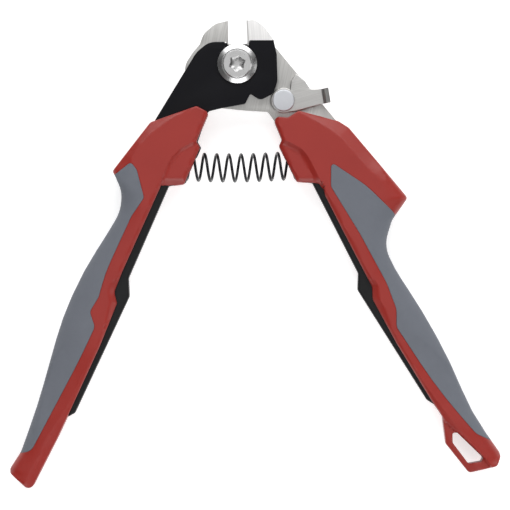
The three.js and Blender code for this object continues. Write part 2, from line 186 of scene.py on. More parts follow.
def grown(corners, d):
    """The same closed corners with every side moved outwards by d mm."""
    places = np.array([c[:2] for c in corners], float)
    after = np.roll(places, -1, axis=0)
    area = np.sum(places[:, 0] * after[:, 1] - after[:, 0] * places[:, 1])
    out = []
    for i, corner in enumerate(corners):
        into = places[i] - places[i - 1]
        onward = after[i] - places[i]
        normals = [np.array([v[1], -v[0]]) / np.linalg.norm(v) * np.sign(area) for v in (into, onward)]
        bisector = normals[0] + normals[1]
        x, y = places[i] + bisector * 2 * d / (bisector @ bisector)
        out.append((x, y, *corner[2:]))
    return out


def even(line, pitch, closed=False):
    """The line with extra points, so that none are further apart than pitch mm."""
    ends = np.roll(line, -1, axis=0) if closed else line[1:]
    starts = line if closed else line[:-1]
    points = []
    for a, b in zip(starts, ends):
        count = max(1, math.ceil(np.linalg.norm(b - a) / pitch))
        points.extend(a + (b - a) * k / count for k in range(count))
    if not closed:
        points.append(line[-1])
    return np.array(points)


print("six corners rounded:", len(rounded([(math.cos(k), math.sin(k), 0.2) for k in range(6)])), "points")

# %% [markdown]
# ## Making and finishing meshes
# Every piece ends as a plain mesh at the origin, in metres, closed and with its faces outwards. Edges
# that turn more than a set angle stay crisp, and the rest shade smoothly, as on moulded or turned parts.

# %% Mesh helpers
CRISP = math.radians(32)
DOUBLES = 0.0005 * MM
BELOW_ALL, ABOVE_ALL = -1, 20


def finished(obj, body, material, node, crisp=CRISP):
    """Gives a mesh its material and its shading, and lets it ride on a CAD body in a node's place."""
    mesh = obj.data
    mesh.materials.clear()
    mesh.materials.append(material)
    mesh.shade_smooth()
    mesh.set_sharp_from_angle(angle=crisp)
    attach(obj, body)
    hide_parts(node)


def from_bmesh(name, work):
    """A new object from a bmesh in mm. Doubles are merged and the faces turned outwards."""
    bmesh.ops.scale(work, vec=(MM, MM, MM), verts=work.verts)
    bmesh.ops.remove_doubles(work, verts=work.verts, dist=DOUBLES)
    bmesh.ops.dissolve_degenerate(work, edges=work.edges, dist=DOUBLES)
    bmesh.ops.recalc_face_normals(work, faces=work.faces)
    mesh = bpy.data.meshes.new(name)
    work.to_mesh(mesh)
    work.free()
    return placed(name, mesh)


def plate(name, loops, low, high, bevel=0.2, steps=3):
    """A sheet between two heights from an outer loop and any holes, with rounded-over edges."""
    curve = bpy.data.curves.new(name, "CURVE")
    curve.dimensions = "2D"
    curve.fill_mode = "BOTH"
    curve.extrude = (high - low) / 2 - bevel
    curve.bevel_depth = bevel
    curve.bevel_resolution = steps
    curve.offset = -bevel
    for loop in loops:
        spline = curve.splines.new("POLY")
        spline.points.add(len(loop) - 1)
        for point, (x, y) in zip(spline.points, loop):
            point.co = (x, y, 0, 1)
        spline.use_cyclic_u = True
    holder = bpy.data.objects.new(name, curve)
    work = bmesh.new()
    work.from_mesh(holder.to_mesh())
    bmesh.ops.translate(work, vec=(0, 0, (low + high) / 2), verts=work.verts)
    bpy.data.objects.remove(holder)
    bpy.data.curves.remove(curve)
    return from_bmesh(name, work)


def turned(name, profile, centre=(0, 0), steps=128):
    """A lathe piece: a closed profile of (radius, z, corner radius), spun round a line along Z."""
    line = rounded(profile)
    work = bmesh.new()
    rings = []
    for k in range(steps):
        c, s = math.cos(2 * math.pi * k / steps), math.sin(2 * math.pi * k / steps)
        rings.append([work.verts.new((centre[0] + r * c, centre[1] + r * s, z)) for r, z in line])
    for k, ring in enumerate(rings):
        other = rings[(k + 1) % steps]
        for j in range(len(line)):
            j2 = (j + 1) % len(line)
            if line[j][0] > 0 or line[j2][0] > 0:
                work.faces.new((ring[j], ring[j2], other[j2], other[j]))
    return from_bmesh(name, work)


def carve(obj, tool, how="DIFFERENCE"):
    """Cuts, joins or keeps what is common with another closed mesh."""
    modifier = obj.modifiers.new("carve", "BOOLEAN")
    modifier.object = tool
    modifier.operation = how
    modifier.solver = "MANIFOLD"
    graph = bpy.context.evaluated_depsgraph_get()
    result = bpy.data.meshes.new_from_object(obj.evaluated_get(graph))
    obj.modifiers.clear()
    old, obj.data = obj.data, result
    bpy.data.meshes.remove(old)
    bpy.data.objects.remove(tool)


def bar(name, radius, length, middle, segments):
    """A round bar along X with its middle at a point in mm."""
    work = bmesh.new()
    made = bmesh.ops.create_cone(work, cap_ends=True, segments=segments, radius1=radius, radius2=radius,
                                 depth=length)
    turn = Vector((1, 0, 0)).to_track_quat("Z", "Y").to_matrix()
    bmesh.ops.rotate(work, cent=(0, 0, 0), matrix=turn, verts=made["verts"])
    bmesh.ops.translate(work, vec=middle, verts=made["verts"])
    return from_bmesh(name, work)


def bore(radius, centre=(0, 0), high=ABOVE_ALL):
    """A round cutter along Z from below everything up to a height."""
    return turned("bore", [(0, BELOW_ALL), (radius, BELOW_ALL), (radius, high), (0, high)], centre)


def open_edges(obj):
    """How many edges of a mesh don't join exactly two faces. A closed piece has none."""
    work = bmesh.new()
    work.from_mesh(obj.data)
    count = sum(not e.is_manifold for e in work.edges)
    work.free()
    return count


test = turned("test", [(0, 0), (2, 0, 0.3), (2, 1, 0.3), (0, 1)])
print("test disc:", len(test.data.polygons), "faces,", open_edges(test), "open edges")
bpy.data.objects.remove(test)

# %% [markdown]
# ## Materials
# A colour is written as it is read off a colour chart, in sRGB, and turned to linear light once. One small
# helper adds a shader node with its settings and links. Each material is named for the real one.

# %% Material helpers
NOISE_LOW, NOISE_HIGH = 0.25, 0.75


def linear(code):
    """An sRGB hex colour such as "9E3E36" as linear red, green, blue and alpha."""
    parts = [int(code[i:i + 2], 16) / 255 for i in (0, 2, 4)]
    return (*(p / 12.92 if p <= 0.04045 else ((p + 0.055) / 1.055) ** 2.4 for p in parts), 1.0)


def add(tree, kind, inputs=(), **settings):
    """Adds a node. Each input is a (socket, value) pair, where the value may be another node's output."""
    node = tree.nodes.new(kind)
    for key, value in settings.items():
        setattr(node, key, value)
    for socket, value in inputs:
        if isinstance(value, bpy.types.NodeSocket):
            tree.links.new(value, node.inputs[socket])
        else:
            node.inputs[socket].default_value = value
    return node


def new_material(name):
    """An empty material with its shader and the object's own coordinates in metres."""
    material = bpy.data.materials.new(name)
    material.use_nodes = True
    tree = material.node_tree
    place = add(tree, "ShaderNodeTexCoord").outputs["Object"]
    return material, tree, tree.nodes["Principled BSDF"], place


def grain(tree, place, size, detail=2.0, stretch=(1, 1, 1), turn=0.0):
    """Noise whose blobs are about size mm across, stretched along an axis and turned about Z."""
    mapping = add(tree, "ShaderNodeMapping", [
        ("Vector", place),
        ("Rotation", (0, 0, turn)),
        ("Scale", tuple(s * size * MM for s in stretch)),
    ], vector_type="TEXTURE")
    noise = add(tree, "ShaderNodeTexNoise", [
        ("Vector", mapping.outputs["Vector"]),
        ("Scale", 1.0),
        ("Detail", detail),
    ])
    return noise.outputs["Fac"]


def between(tree, value, low, high):
    """A 0 to 1 pattern mapped to the range from low to high."""
    node = add(tree, "ShaderNodeMapRange", [("Value", value), ("From Min", NOISE_LOW),
                                            ("From Max", NOISE_HIGH), ("To Min", low), ("To Max", high)])
    return node.outputs["Result"]


def two_tone(tree, value, dark, light):
    """A colour that drifts between two near tones."""
    node = add(tree, "ShaderNodeMix", [("Factor", value), ("A", linear(dark)), ("B", linear(light))],
               data_type="RGBA")
    return node.outputs["Result"]


def coat(tree, shader, colour, roughness, inputs=()):
    """Joins a colour and a roughness to the shader and sets its other (socket, value) inputs."""
    tree.links.new(colour, shader.inputs["Base Color"])
    tree.links.new(roughness, shader.inputs["Roughness"])
    for socket, value in inputs:
        shader.inputs[socket].default_value = value


def relief(tree, shader, height, depth, strength):
    """Bump of a real depth in mm, softened by its strength."""
    bump = add(tree, "ShaderNodeBump", [("Height", height), ("Distance", depth * MM), ("Strength", strength)])
    tree.links.new(bump.outputs["Normal"], shader.inputs["Normal"])


print("chart white is", linear("FFFFFF")[:3])

# %% [markdown]
# Two-shot moulded handles: the hard shells are red ABS from a spark-eroded mould, whose skin is a field
# of small soft pits. The eye sees a quiet satin with a faint unevenness and never a mirror. A bump of
# noise with the size of those pits gives it, and a second noise makes the gloss drift as it does where
# hands have rubbed it.

# %% Red ABS, moulded
RED_DARK, RED_LIGHT = "90241D", "9B2A21"
SPARK_PIT = 0.35
red_abs, tree, shader, place = new_material("red_abs_moulded")
pits = grain(tree, place, SPARK_PIT, 3.0)
cloud = grain(tree, place, 14.0, 2.0)
coat(tree, shader, two_tone(tree, cloud, RED_DARK, RED_LIGHT),
     between(tree, grain(tree, place, 2.5, 3.0), 0.36, 0.46), [("IOR", 1.5)])
relief(tree, shader, pits, 0.02, 0.25)
print(red_abs.name)

# %% [markdown]
# The grip is a thermoplastic elastomer shot onto the shells. It is dead matt, cool grey, and its skin
# has a finer, denser grain than the shells. Elastomer also shows a soft light rim at grazing angles,
# which a little sheen gives.

# %% Grey elastomer, moulded
GREY_DARK, GREY_LIGHT = "62666E", "6A6E77"
ELASTOMER_GRAIN = 0.25
grey_elastomer, tree, shader, place = new_material("grey_elastomer_moulded")
coat(tree, shader, two_tone(tree, grain(tree, place, 9.0), GREY_DARK, GREY_LIGHT),
     between(tree, grain(tree, place, 1.5, 3.0), 0.66, 0.78), [("IOR", 1.5), ("Sheen Weight", 0.06)])
relief(tree, shader, grain(tree, place, ELASTOMER_GRAIN, 4.0), 0.015, 0.4)
print(grey_elastomer.name)

# %% [markdown]
# The core that joins shells, spring and tang is black nylon filled with short glass fibre. The fibres
# lie along the flow and leave the skin slightly streaky, so its noise is drawn out along the handle.

# %% Black nylon, glass filled
FIBRE_STREAK = 0.5
black_nylon, tree, shader, place = new_material("black_nylon_glass_filled")
streak = grain(tree, place, FIBRE_STREAK, 3.0, stretch=(1, 6, 1))
coat(tree, shader, two_tone(tree, streak, "090A0B", "0E1012"), between(tree, streak, 0.4, 0.55),
     [("IOR", 1.53), ("Specular IOR Level", 0.3)])
relief(tree, shader, streak, 0.02, 0.3)
print(black_nylon.name)

# %% [markdown]
# Blades, latch and washers are hardened steel with a fine ground or tumbled surface. The grinding belt
# leaves straight hairlines a few hundredths of a millimetre wide; they are drawn as coarse as the eye can
# still follow here. Along the lines the gloss is higher than across them, and the noise is stretched to
# match.

# %% Satin steel, belt ground
HAIRLINE = 0.25
LINE_DEPTH = 0.004
GLOSS_SPREAD = 0.03


def ground_steel(name, dark, light, rough, turn):
    """Steel with hairlines at an angle from the Y axis."""
    material, tree, shader, place = new_material(name)
    lines = grain(tree, place, HAIRLINE, 2.0, stretch=(1, 60, 20), turn=turn)
    coat(tree, shader, two_tone(tree, lines, dark, light),
         between(tree, lines, rough - GLOSS_SPREAD, rough + GLOSS_SPREAD), [("Metallic", 1.0)])
    relief(tree, shader, lines, LINE_DEPTH, 0.3)
    return material


satin_steel = ground_steel("satin_steel_ground", "A9A8A5", "DBDAD8", 0.36, math.radians(-12))
latch_steel = ground_steel("satin_steel_stamped", "B2B1AF", "DAD9D7", 0.33, math.radians(-75))
bare_edge_steel = ground_steel("bare_steel_ground_edge", "DDDCDB", "FDFCFB", 0.3, math.radians(4))
pin_steel = ground_steel("drawn_steel_pin", "A9A8A5", "B5B4B1", 0.4, 0.0)
print("steels:", satin_steel.name, latch_steel.name, bare_edge_steel.name)

# %% [markdown]
# The bolt, its cup washer and the rivet are turned or headed, then plated. A lathe leaves rings round the
# axis, and a ring pattern centred on that axis follows them. The pattern is the wave texture in rings,
# bent a little by noise so that the rings don't look printed. Its rings lie a tenth of pi apart at a
# scale of one, and the scale turns that into the pitch.

# %% Plated steel, turned
TURNING_PITCH = 0.69
RING_LENGTH = math.pi / 10


def turned_steel(name, dark, light, rough, centre):
    """Steel with turning rings round a line along Z through centre, in mm."""
    material, tree, shader, place = new_material(name)
    mapping = add(tree, "ShaderNodeMapping", [
        ("Vector", place),
        ("Location", (-centre[0] * MM, -centre[1] * MM, 0)),
    ])
    rings = add(tree, "ShaderNodeTexWave", [
        ("Vector", mapping.outputs["Vector"]),
        ("Scale", RING_LENGTH / (TURNING_PITCH * MM)),
        ("Distortion", 0.6),
        ("Detail", 2.0),
    ], wave_type="RINGS", rings_direction="Z")
    drift = grain(tree, place, 2.5, 2.0)
    coat(tree, shader, two_tone(tree, drift, dark, light),
         between(tree, drift, rough - GLOSS_SPREAD, rough + GLOSS_SPREAD), [("Metallic", 1.0)])
    relief(tree, shader, rings.outputs["Fac"], LINE_DEPTH, 0.3)
    return material


RIVET = (17.2, -13.6)
bolt_steel = turned_steel("plated_steel_turned", "C2C2C2", "D2D2D2", 0.28, (0, 0))
rivet_steel = turned_steel("plated_steel_headed", "D3D5DA", "DADCE1", 0.42, RIVET)
print("turned steels:", bolt_steel.name, rivet_steel.name)

# %% [markdown]
# The front blade is blacked: a thin conversion coat over the ground steel, nearly black with a trace of
# blue, and a satin gloss that still shows the grinding below it. The spring wire is drawn, coiled and
# oiled black, so it is glossier, with marks along the wire.

# %% Black oxide and black spring wire
black_oxide, tree, shader, place = new_material("black_oxide_on_steel")
lines = grain(tree, place, HAIRLINE, 2.0, stretch=(1, 40, 20), turn=math.radians(25))
coat(tree, shader, two_tone(tree, grain(tree, place, 6.0), "07070C", "0A0A10"),
     between(tree, lines, 0.3, 0.38), [("IOR", 1.45), ("Specular IOR Level", 0.2)])
relief(tree, shader, lines, LINE_DEPTH, 0.3)

spring_wire, tree, shader, place = new_material("black_spring_wire")
draw_marks = grain(tree, place, 0.2, 3.0)
coat(tree, shader, two_tone(tree, draw_marks, "141519", "26272B"),
     between(tree, draw_marks, 0.24, 0.36), [("Metallic", 0.6)])
relief(tree, shader, draw_marks, 0.01, 0.2)

white_nylon, tree, shader, place = new_material("white_nylon_ring")
coat(tree, shader, two_tone(tree, grain(tree, place, 1.0), "D2D6DB", "DEE1E5"),
     between(tree, grain(tree, place, 0.5), 0.4, 0.5),
     [("Subsurface Weight", 0.1), ("Subsurface Scale", 1.0 * MM)])
relief(tree, shader, grain(tree, place, 0.3), 0.01, 0.3)

paper, tree, shader, place = new_material("pale_floor_sheet")
coat(tree, shader, two_tone(tree, grain(tree, place, 60.0), "D6D6D6", "DADADA"),
     between(tree, grain(tree, place, 5.0), 0.85, 0.95),
     [("Emission Color", (1, 1, 1, 1)), ("Emission Strength", 0.65)])
print("last materials:", black_oxide.name, spring_wire.name, white_nylon.name)

# %% Floor
FLOOR_SIDE = 3.0
floor_mesh = bpy.data.meshes.new("floor")
corner = FLOOR_SIDE / 2
floor_mesh.from_pydata([(STAGE.x + x, STAGE.y + y, -FLOOR_DROP) for x, y in
                        [(-corner, -corner), (corner, -corner), (corner, corner), (-corner, corner)]],
                       [], [(0, 1, 2, 3)])
floor_mesh.materials.append(paper)
floor = placed("floor", floor_mesh)
print("floor side, m:", FLOOR_SIDE)

# %% [markdown]
# ## The handle's face as a height over its middle plane
# Each handle is two mirrored shells that meet in its middle plane, so one rule gives the half-thickness
# at every point. It is the lowest of several simple surfaces, as a mould maker would cut them: a flat
# face, long facets that start at a crease, a large rounding along the palm side, a small sloping rim
# along the rest, and a step round the block that takes the spring.

# %% Height helpers
HALF = round((CAD_LOW[2] + CAD_HIGH[2]) / 2 / MM, 2)
GAP = 0.3


def reach(points, line):
    """The distance of each point to an open line, and which side it is on (left is positive)."""
    best = np.full(len(points), np.inf)
    side = np.ones(len(points))
    for a, b in zip(line[:-1], line[1:]):
        along = b - a
        t = np.clip((points - a) @ along / (along @ along), 0, 1)
        off = points - a - t[:, None] * along
        distance = np.hypot(off[:, 0], off[:, 1])
        nearer = distance < best - 1e-9
        cross = along[0] * (points[:, 1] - a[1]) - along[1] * (points[:, 0] - a[0])
        side = np.where(nearer, np.where(cross >= 0, 1.0, -1.0), side)
        best = np.minimum(best, distance)
    return best, side


def signed(points, line):
    """Distance to a line, positive on its left and negative on its right."""
    distance, side = reach(points, np.array(line, float))
    return distance * side


def ease(value, start, end):
    """0 before start, 1 after end, and smooth between them."""
    t = np.clip((value - start) / (end - start), 0, 1)
    return t * t * (3 - 2 * t)


def roll_off(distance, width, depth):
    """How far a quarter-ellipse rounding has dropped at a distance from its edge."""
    t = np.clip(1 - distance / width, 0, 1)
    return depth * (1 - np.sqrt(1 - t * t))


def contains(loop, points):
    """Which points are inside a closed loop."""
    within = np.zeros(len(points), bool)
    x, y = points[:, 0], points[:, 1]
    for (ax, ay), (bx, by) in zip(loop, np.roll(loop, -1, axis=0)):
        if ay == by:
            continue
        crosses = ((ay > y) != (by > y)) & (x < (bx - ax) * (y - ay) / (by - ay) + ax)
        within ^= crosses
    return within


print("a 2 mm rounding halfway:", round(float(roll_off(np.array([1.0]), 2, 2)[0]), 3), "mm down")

# %% [markdown]
# ## From an outline to a surface
# A height over a plane needs points where the surface bends: rings close to the edge for its rounding,
# a row on each crease, and an even field between. A constrained Delaunay triangulation joins them and
# keeps every outline and crease as an edge, which a plain grid can't do.

# %% Relief mesh
FIELD_PITCH = 0.8
ROW_SHARE = 0.866
CREASE_CLEAR = 0.12
POINT_CLEAR = 0.25
RING_SHARE = 0.93
SAME_PLACE = 1e-6


def inset(loop, d):
    """The points of a closed loop moved inwards by d mm."""
    ahead = np.roll(loop, -1, axis=0) - np.roll(loop, 1, axis=0)
    area = np.sum(loop[:, 0] * np.roll(loop[:, 1], -1) - np.roll(loop[:, 0], -1) * loop[:, 1])
    normal = np.stack([-ahead[:, 1], ahead[:, 0]], axis=1) * np.sign(area)
    return loop + normal / np.linalg.norm(normal, axis=1, keepdims=True) * d


def back_to_start(loop):
    """A closed loop as a line that ends where it starts."""
    return np.vstack([loop, loop[:1]])


def inside(loops, points):
    """Which points lie in the first loop and outside the others."""
    keep = contains(loops[0], points)
    for hole in loops[1:]:
        keep &= ~contains(hole, points)
    return keep


def crease_rows(creases, outer, borders):
    """The stretches of each crease that lie well inside, as rows of points."""
    rows = []
    for crease in creases:
        line = even(np.array(crease, float), FIELD_PITCH)
        keep = contains(outer, line)
        for border in borders:
            keep &= reach(line, border)[0] > CREASE_CLEAR
        changes = np.flatnonzero(np.diff(keep.astype(int))) + 1
        runs = np.split(np.arange(len(line)), changes)
        rows.extend(line[run] for run in runs if keep[run[0]] and len(run) > 1)
    return rows


def field_and_rings(loops, rings):
    """Groups of points with how clear of the borders each has to stay: the field, then the rings."""
    low, high = loops[0].min(axis=0), loops[0].max(axis=0)
    xs = np.arange(low[0], high[0], FIELD_PITCH)
    ys = np.arange(low[1], high[1], FIELD_PITCH * ROW_SHARE)
    field = np.array([(x + FIELD_PITCH / 2 * (j % 2), y) for j, y in enumerate(ys) for x in xs])
    groups = [(field[contains(loops[0], field)], rings[-1] + FIELD_PITCH / 2)]
    for loop, turn in zip(loops, [1] + [-1] * (len(loops) - 1)):
        groups.extend((inset(loop, d * turn), d * RING_SHARE) for d in rings)
    return groups


def triangulated(loops, creases, rings):
    """Points and triangles of the area inside the first loop and outside the others."""
    borders = [back_to_start(loop) for loop in loops]
    points = []
    edges = []
    for loop in loops:
        first = len(points)
        points.extend(loop)
        edges.extend((first + k, first + (k + 1) % len(loop)) for k in range(len(loop)))
    rim = len(points)
    for row in crease_rows(creases, loops[0], borders):
        first = len(points)
        points.extend(row)
        edges.extend((first + k, first + k + 1) for k in range(len(row) - 1))
    crease_points = np.array(points[rim:]).reshape(-1, 2)
    for group, clear in field_and_rings(loops, rings):
        keep = inside(loops, group)
        for border in borders:
            keep &= reach(group, border)[0] > clear
        if len(crease_points):
            gaps = np.linalg.norm(group[:, None, :] - crease_points[None, :, :], axis=2).min(axis=1)
            keep &= gaps > min(POINT_CLEAR, clear)
        points.extend(group[keep])
    made, _, faces, *_ = delaunay_2d_cdt([Vector(p) for p in points], edges, [], 0, SAME_PLACE)
    made = np.array([tuple(p) for p in made])
    centres = np.array([made[list(f)].mean(axis=0) for f in faces])
    return made, [f for f, k in zip(faces, inside(loops, centres)) if k]


def rim_edges(faces):
    """The directed edges that only one triangle has."""
    count = set()
    for face in faces:
        for a, b in zip(face, (*face[1:], face[0])):
            if (b, a) in count:
                count.remove((b, a))
            else:
                count.add((a, b))
    return count


def two_faced(name, loops, creases, rings, front, rear):
    """A closed piece between two heights over the same triangles, with upright walls."""
    points, faces = triangulated(loops, creases, rings)
    work = bmesh.new()
    top = [work.verts.new((*p, z)) for p, z in zip(points, front(points))]
    bottom = [work.verts.new((*p, z)) for p, z in zip(points, rear(points))]
    for face in faces:
        work.faces.new([top[v] for v in face])
        work.faces.new([bottom[v] for v in reversed(face)])
    for a, b in rim_edges(faces):
        work.faces.new((top[b], top[a], bottom[a], bottom[b]))
    return from_bmesh(name, work)


print("triangulation ready, field pitch", FIELD_PITCH, "mm")

# %% [markdown]
# ## The left handle
# The outline has a square shoulder, a neck for the index finger, a swelling for the palm and a straight
# inner side with a bump. The grip's border crosses it twice, so the outline falls into two runs: the
# palm side belongs to the grip, and the rest to the red shells.

# %% Left handle outline
left_outline = [
    (-32.2, -21.8, 2.5), (-15.1, -15.8, 1.2), (-10.5, -18.2, 1.3), (-15.1, -29, 1.3), (-13.7, -31.1, 1.3),
    (-19.7, -44.8, 1.3), (-25.4, -45.5, 1.3), (-28.2, -45.2, 0.4), (-42.6, -77.2, 20), (-45.6, -84.8, 4),
    (-44.5, -88.8, 2), (-51, -105, 30), (-61.5, -127.8, 10), (-66.2, -138, 10), (-76.7, -158.7, 2.2),
    (-85, -151.2, 2.2), (-80.3, -144, 8), (-74.2, -127, SOFT), (-69.5, -110.3, SOFT), (-64.9, -94, SOFT),
    (-57.2, -77, SOFT), (-47.6, -62, SOFT), (-43.4, -54.8, SOFT), (-42.8, -47.4, SOFT), (-45.2, -41.9, 2),
    (-46.3, -39.9, 1.2),
]
left_grip_border = [
    (-60, -36), (-45.6, -41.4), (-39.4, -36.6, 1.2), (-37.2, -39.4, 3), (-34.5, -49.8, 2),
    (-39.2, -56.6, 12), (-48.9, -77.8, SOFT), (-51.3, -86.6, 4), (-54.6, -92, 2.5), (-52.7, -97.6, 3),
    (-57.8, -108.6, SOFT), (-67.4, -126.8, SOFT), (-76.4, -143.8, 4.5), (-82, -144.6), (-110, -140),
]
left_facet_crease = [
    (-14, -15.2), (-19, -17.6), (-22.7, -19.4), (-26.4, -21.7), (-29.4, -23.9), (-32.4, -26.3),
    (-35.7, -29.8), (-38.7, -35), (-40.6, -40), (-41.6, -47),
]
left_block_crease = [
    (-9, -27.4), (-14.9, -28.7), (-17.5, -29.6), (-21.2, -31.7), (-24.2, -34.7), (-26, -37.6),
    (-27.2, -40.6), (-28.1, -43.9), (-28.6, -47),
]
left_ridge = [(-50, -99.5), (-56, -112.6), (-62.2, -125), (-66.9, -132.9), (-71.8, -141.4), (-79.5, -157)]
print("left handle:", len(left_outline), "corners")

# %% [markdown]
# ## The right handle
# It isn't the left one mirrored: its shoulder is larger, the grip ends in a point high up, and its end
# carries a loop with a slanted hole, which stands lower than the handle's face.

# %% Right handle outline
right_outline = [
    (12.9, -19.5, 2), (18.8, -20.1, 2.5), (22.8, -17.5, 2), (37.6, -21.4, 3), (41.4, -23.8, 3),
    (63.3, -49.8, 1.4), (57.5, -58, 8), (54.6, -67.5, SOFT), (58.4, -76, SOFT), (69, -92, SOFT),
    (79.4, -111, SOFT), (86.8, -129.2, SOFT), (98, -145, 3), (96.4, -149.3, 2), (86, -151.8, 1.6),
    (77.4, -141, 1.6), (76.2, -131, 1), (72, -124.9, 10), (59, -103.6, 30), (50.2, -87.4, 3),
    (50, -82.8, 3), (38.6, -60.8, 40), (30.4, -44.6, 0.4), (27.9, -44.3, 1.3), (22.1, -43.9, 1.3),
    (15.4, -30.6, 1.3), (16.5, -28.3, 1.3),
]
right_grip_border = [
    (59.6, -57.4), (57.6, -54.8), (48, -45.4, 30), (34.8, -36.6, 1), (34.7, -45.6, 3), (45.4, -63, 40),
    (55.4, -81.4, 20), (59, -91, 8), (59, -97.6, 4), (72, -117.3, SOFT), (81, -128.6, SOFT),
    (88.6, -137.2, 5), (96, -140.6), (115, -141), (90, -75),
]
loop_hole = [(79.8, -136.9, 0.8), (81.6, -136.9, 0.6), (91.2, -146.2, 0.8), (90.4, -147.6, 0.6),
             (85.8, -148.4, 0.8), (79.9, -140.6, 1.5)]
right_facet_crease = [
    (17, -14), (23.3, -18), (27, -20.2), (30.7, -22.2), (34.4, -24.4), (38.1, -27.2), (41.8, -31.3),
    (44.8, -35), (47.8, -38.4), (51.1, -41.3), (54.8, -45.8), (57.4, -51), (58.4, -58),
]
right_block_crease = [
    (9, -27.6), (16.2, -28.3), (18.5, -28.7), (21.4, -30.2), (24, -31.7), (25.9, -33.9), (27.4, -36.5),
    (28.9, -39.5), (30.3, -42.4), (31.6, -45.2), (32.1, -47),
]
right_ridge = [
    (54, -92), (62.2, -107.4), (70.6, -120.4), (75.9, -127.7), (84.6, -138), (93, -147), (97, -151),
]
print("right handle:", len(right_outline), "corners")

# %% [markdown]
# The two height rules below share their parts. Widths and depths grow from the crisp shoulder to the round
# palm with the distance along the handle, as the hand needs it. Distances along it are counted from the
# bolt, in mm: each pair of numbers says where a feature starts to grow and where it is complete.

# %% The rule for the face
FACET_SLOPE = 0.55
FACET_FADE = 4
EDGE_RADIUS = 0.45
RIM_WIDTH = 1.1
RIM_TILT = 0.86
BUMP_WIDTH = 1.2
BUMP_FROM, BUMP_TO = (79, 82), (89, 99)
SHOULDER_WIDE, SHOULDER_DEEP = 1.2, 1.0
PALM_WIDER, PALM_DEEPER = 8.3, 4.6
INNER_SLOPE, INNER_FROM = 0.5, (92, 100)
CROWN_SLOPE, CROWN_FROM = 0.3, (96, 116)
BAND_Y = -42.7
BAND_SLOPE = 0.75
BAND_DEEPEST = 3
LEFT_GROW, RIGHT_GROW = (38, 56), (28, 62)
LEFT_STEP, RIGHT_STEP = (0.9, 1.1), (1.5, 1.8)


def run_of(outline, start, end):
    """The part of a rounded outline from near one point onwards to near another."""
    line = rounded(outline)
    first, last = (int(np.argmin(np.hypot(*(line - p).T))) for p in (start, end))
    return line[first:last + 1] if first < last else np.vstack([line[first:], line[:last + 1]])


def face_height(palm, rim, facet, block, ridge, turn, grow, block_drop, block_wall):
    """A rule from points in mm to half-thicknesses. turn is 1 for the left handle, -1 for the right."""
    def height(p):
        along = -p[:, 1]
        spread = ease(along, *grow)
        wide = SHOULDER_WIDE + PALM_WIDER * spread
        rounding = roll_off(reach(p, palm)[0], wide, SHOULDER_DEEP + PALM_DEEPER * spread)
        beyond = np.maximum(0, -turn * signed(p, facet))
        tilt = FACET_SLOPE * beyond * (1 - ease(along, grow[0] - FACET_FADE, grow[1]))
        side = signed(p, ridge) * turn
        inner_tilt = INNER_SLOPE * np.maximum(0, side) * ease(along, *INNER_FROM)
        crown = CROWN_SLOPE * np.maximum(0, -side) * ease(along, *CROWN_FROM)
        bump = ease(along, *BUMP_FROM) * (1 - ease(along, *BUMP_TO))
        rim_wall = RIM_TILT * np.maximum(0, RIM_WIDTH + BUMP_WIDTH * bump - reach(p, rim)[0])
        drop = np.max([rounding, tilt + rim_wall, inner_tilt, crown, rim_wall], axis=0)
        within = signed(p, block) * turn
        step = np.clip(within / block_wall, 0, 1) * block_drop
        band = np.clip((BAND_Y + along) * BAND_SLOPE, 0, BAND_DEEPEST)
        lowered = step + np.where(within > 0, np.maximum(band, rim_wall), 0)
        return HALF - np.maximum(drop, lowered)
    return height


left_palm = run_of(left_outline, (-85, -151.2), (-32.2, -21.8))
left_rim = run_of(left_outline, (-10.5, -18.2), (-46.3, -39.9))
right_palm = run_of(right_outline, (37.6, -21.4), (98, -145))
right_rim = run_of(right_outline, (63.3, -49.8), (12.9, -19.5))
left_face = face_height(left_palm, left_rim, left_facet_crease, left_block_crease, left_ridge, 1,
                        LEFT_GROW, *LEFT_STEP)
right_face = face_height(right_palm, right_rim, right_facet_crease, right_block_crease, right_ridge, -1,
                         RIGHT_GROW, *RIGHT_STEP)
probe = np.array([(-30.0, -30.0), (-60.0, -100.0)])
print("left half-thickness at two places, mm:", np.round(left_face(probe), 2))

# %% [markdown]
# The grip's border crosses the outline twice. The two places are found, and both closed lines are cut
# there and joined crosswise, which gives one loop for the grip and one for the shells.

# %% Splitting the outline
def crossing(a, b, c, d):
    """Where the segment a-b crosses c-d, as a share of each, or None."""
    r, s = b - a, d - c
    bottom = r[0] * s[1] - r[1] * s[0]
    if bottom == 0:
        return None
    t = ((c - a)[0] * s[1] - (c - a)[1] * s[0]) / bottom
    u = ((c - a)[0] * r[1] - (c - a)[1] * r[0]) / bottom
    return (t, u) if 0 <= t < 1 and 0 <= u < 1 else None


def runs_between(loop, marks):
    """A closed loop with two extra points at its marks (index, share), as two open runs."""
    points = []
    cuts = []
    for k, (a, b) in enumerate(zip(loop, np.roll(loop, -1, axis=0))):
        points.append(a)
        for share in sorted(s for i, s in marks if i == k):
            cuts.append(len(points))
            points.append(a + (b - a) * share)
    points = np.array(points)
    first, second = cuts
    return points[first:second + 1], np.vstack([points[second:], points[:first + 1]])


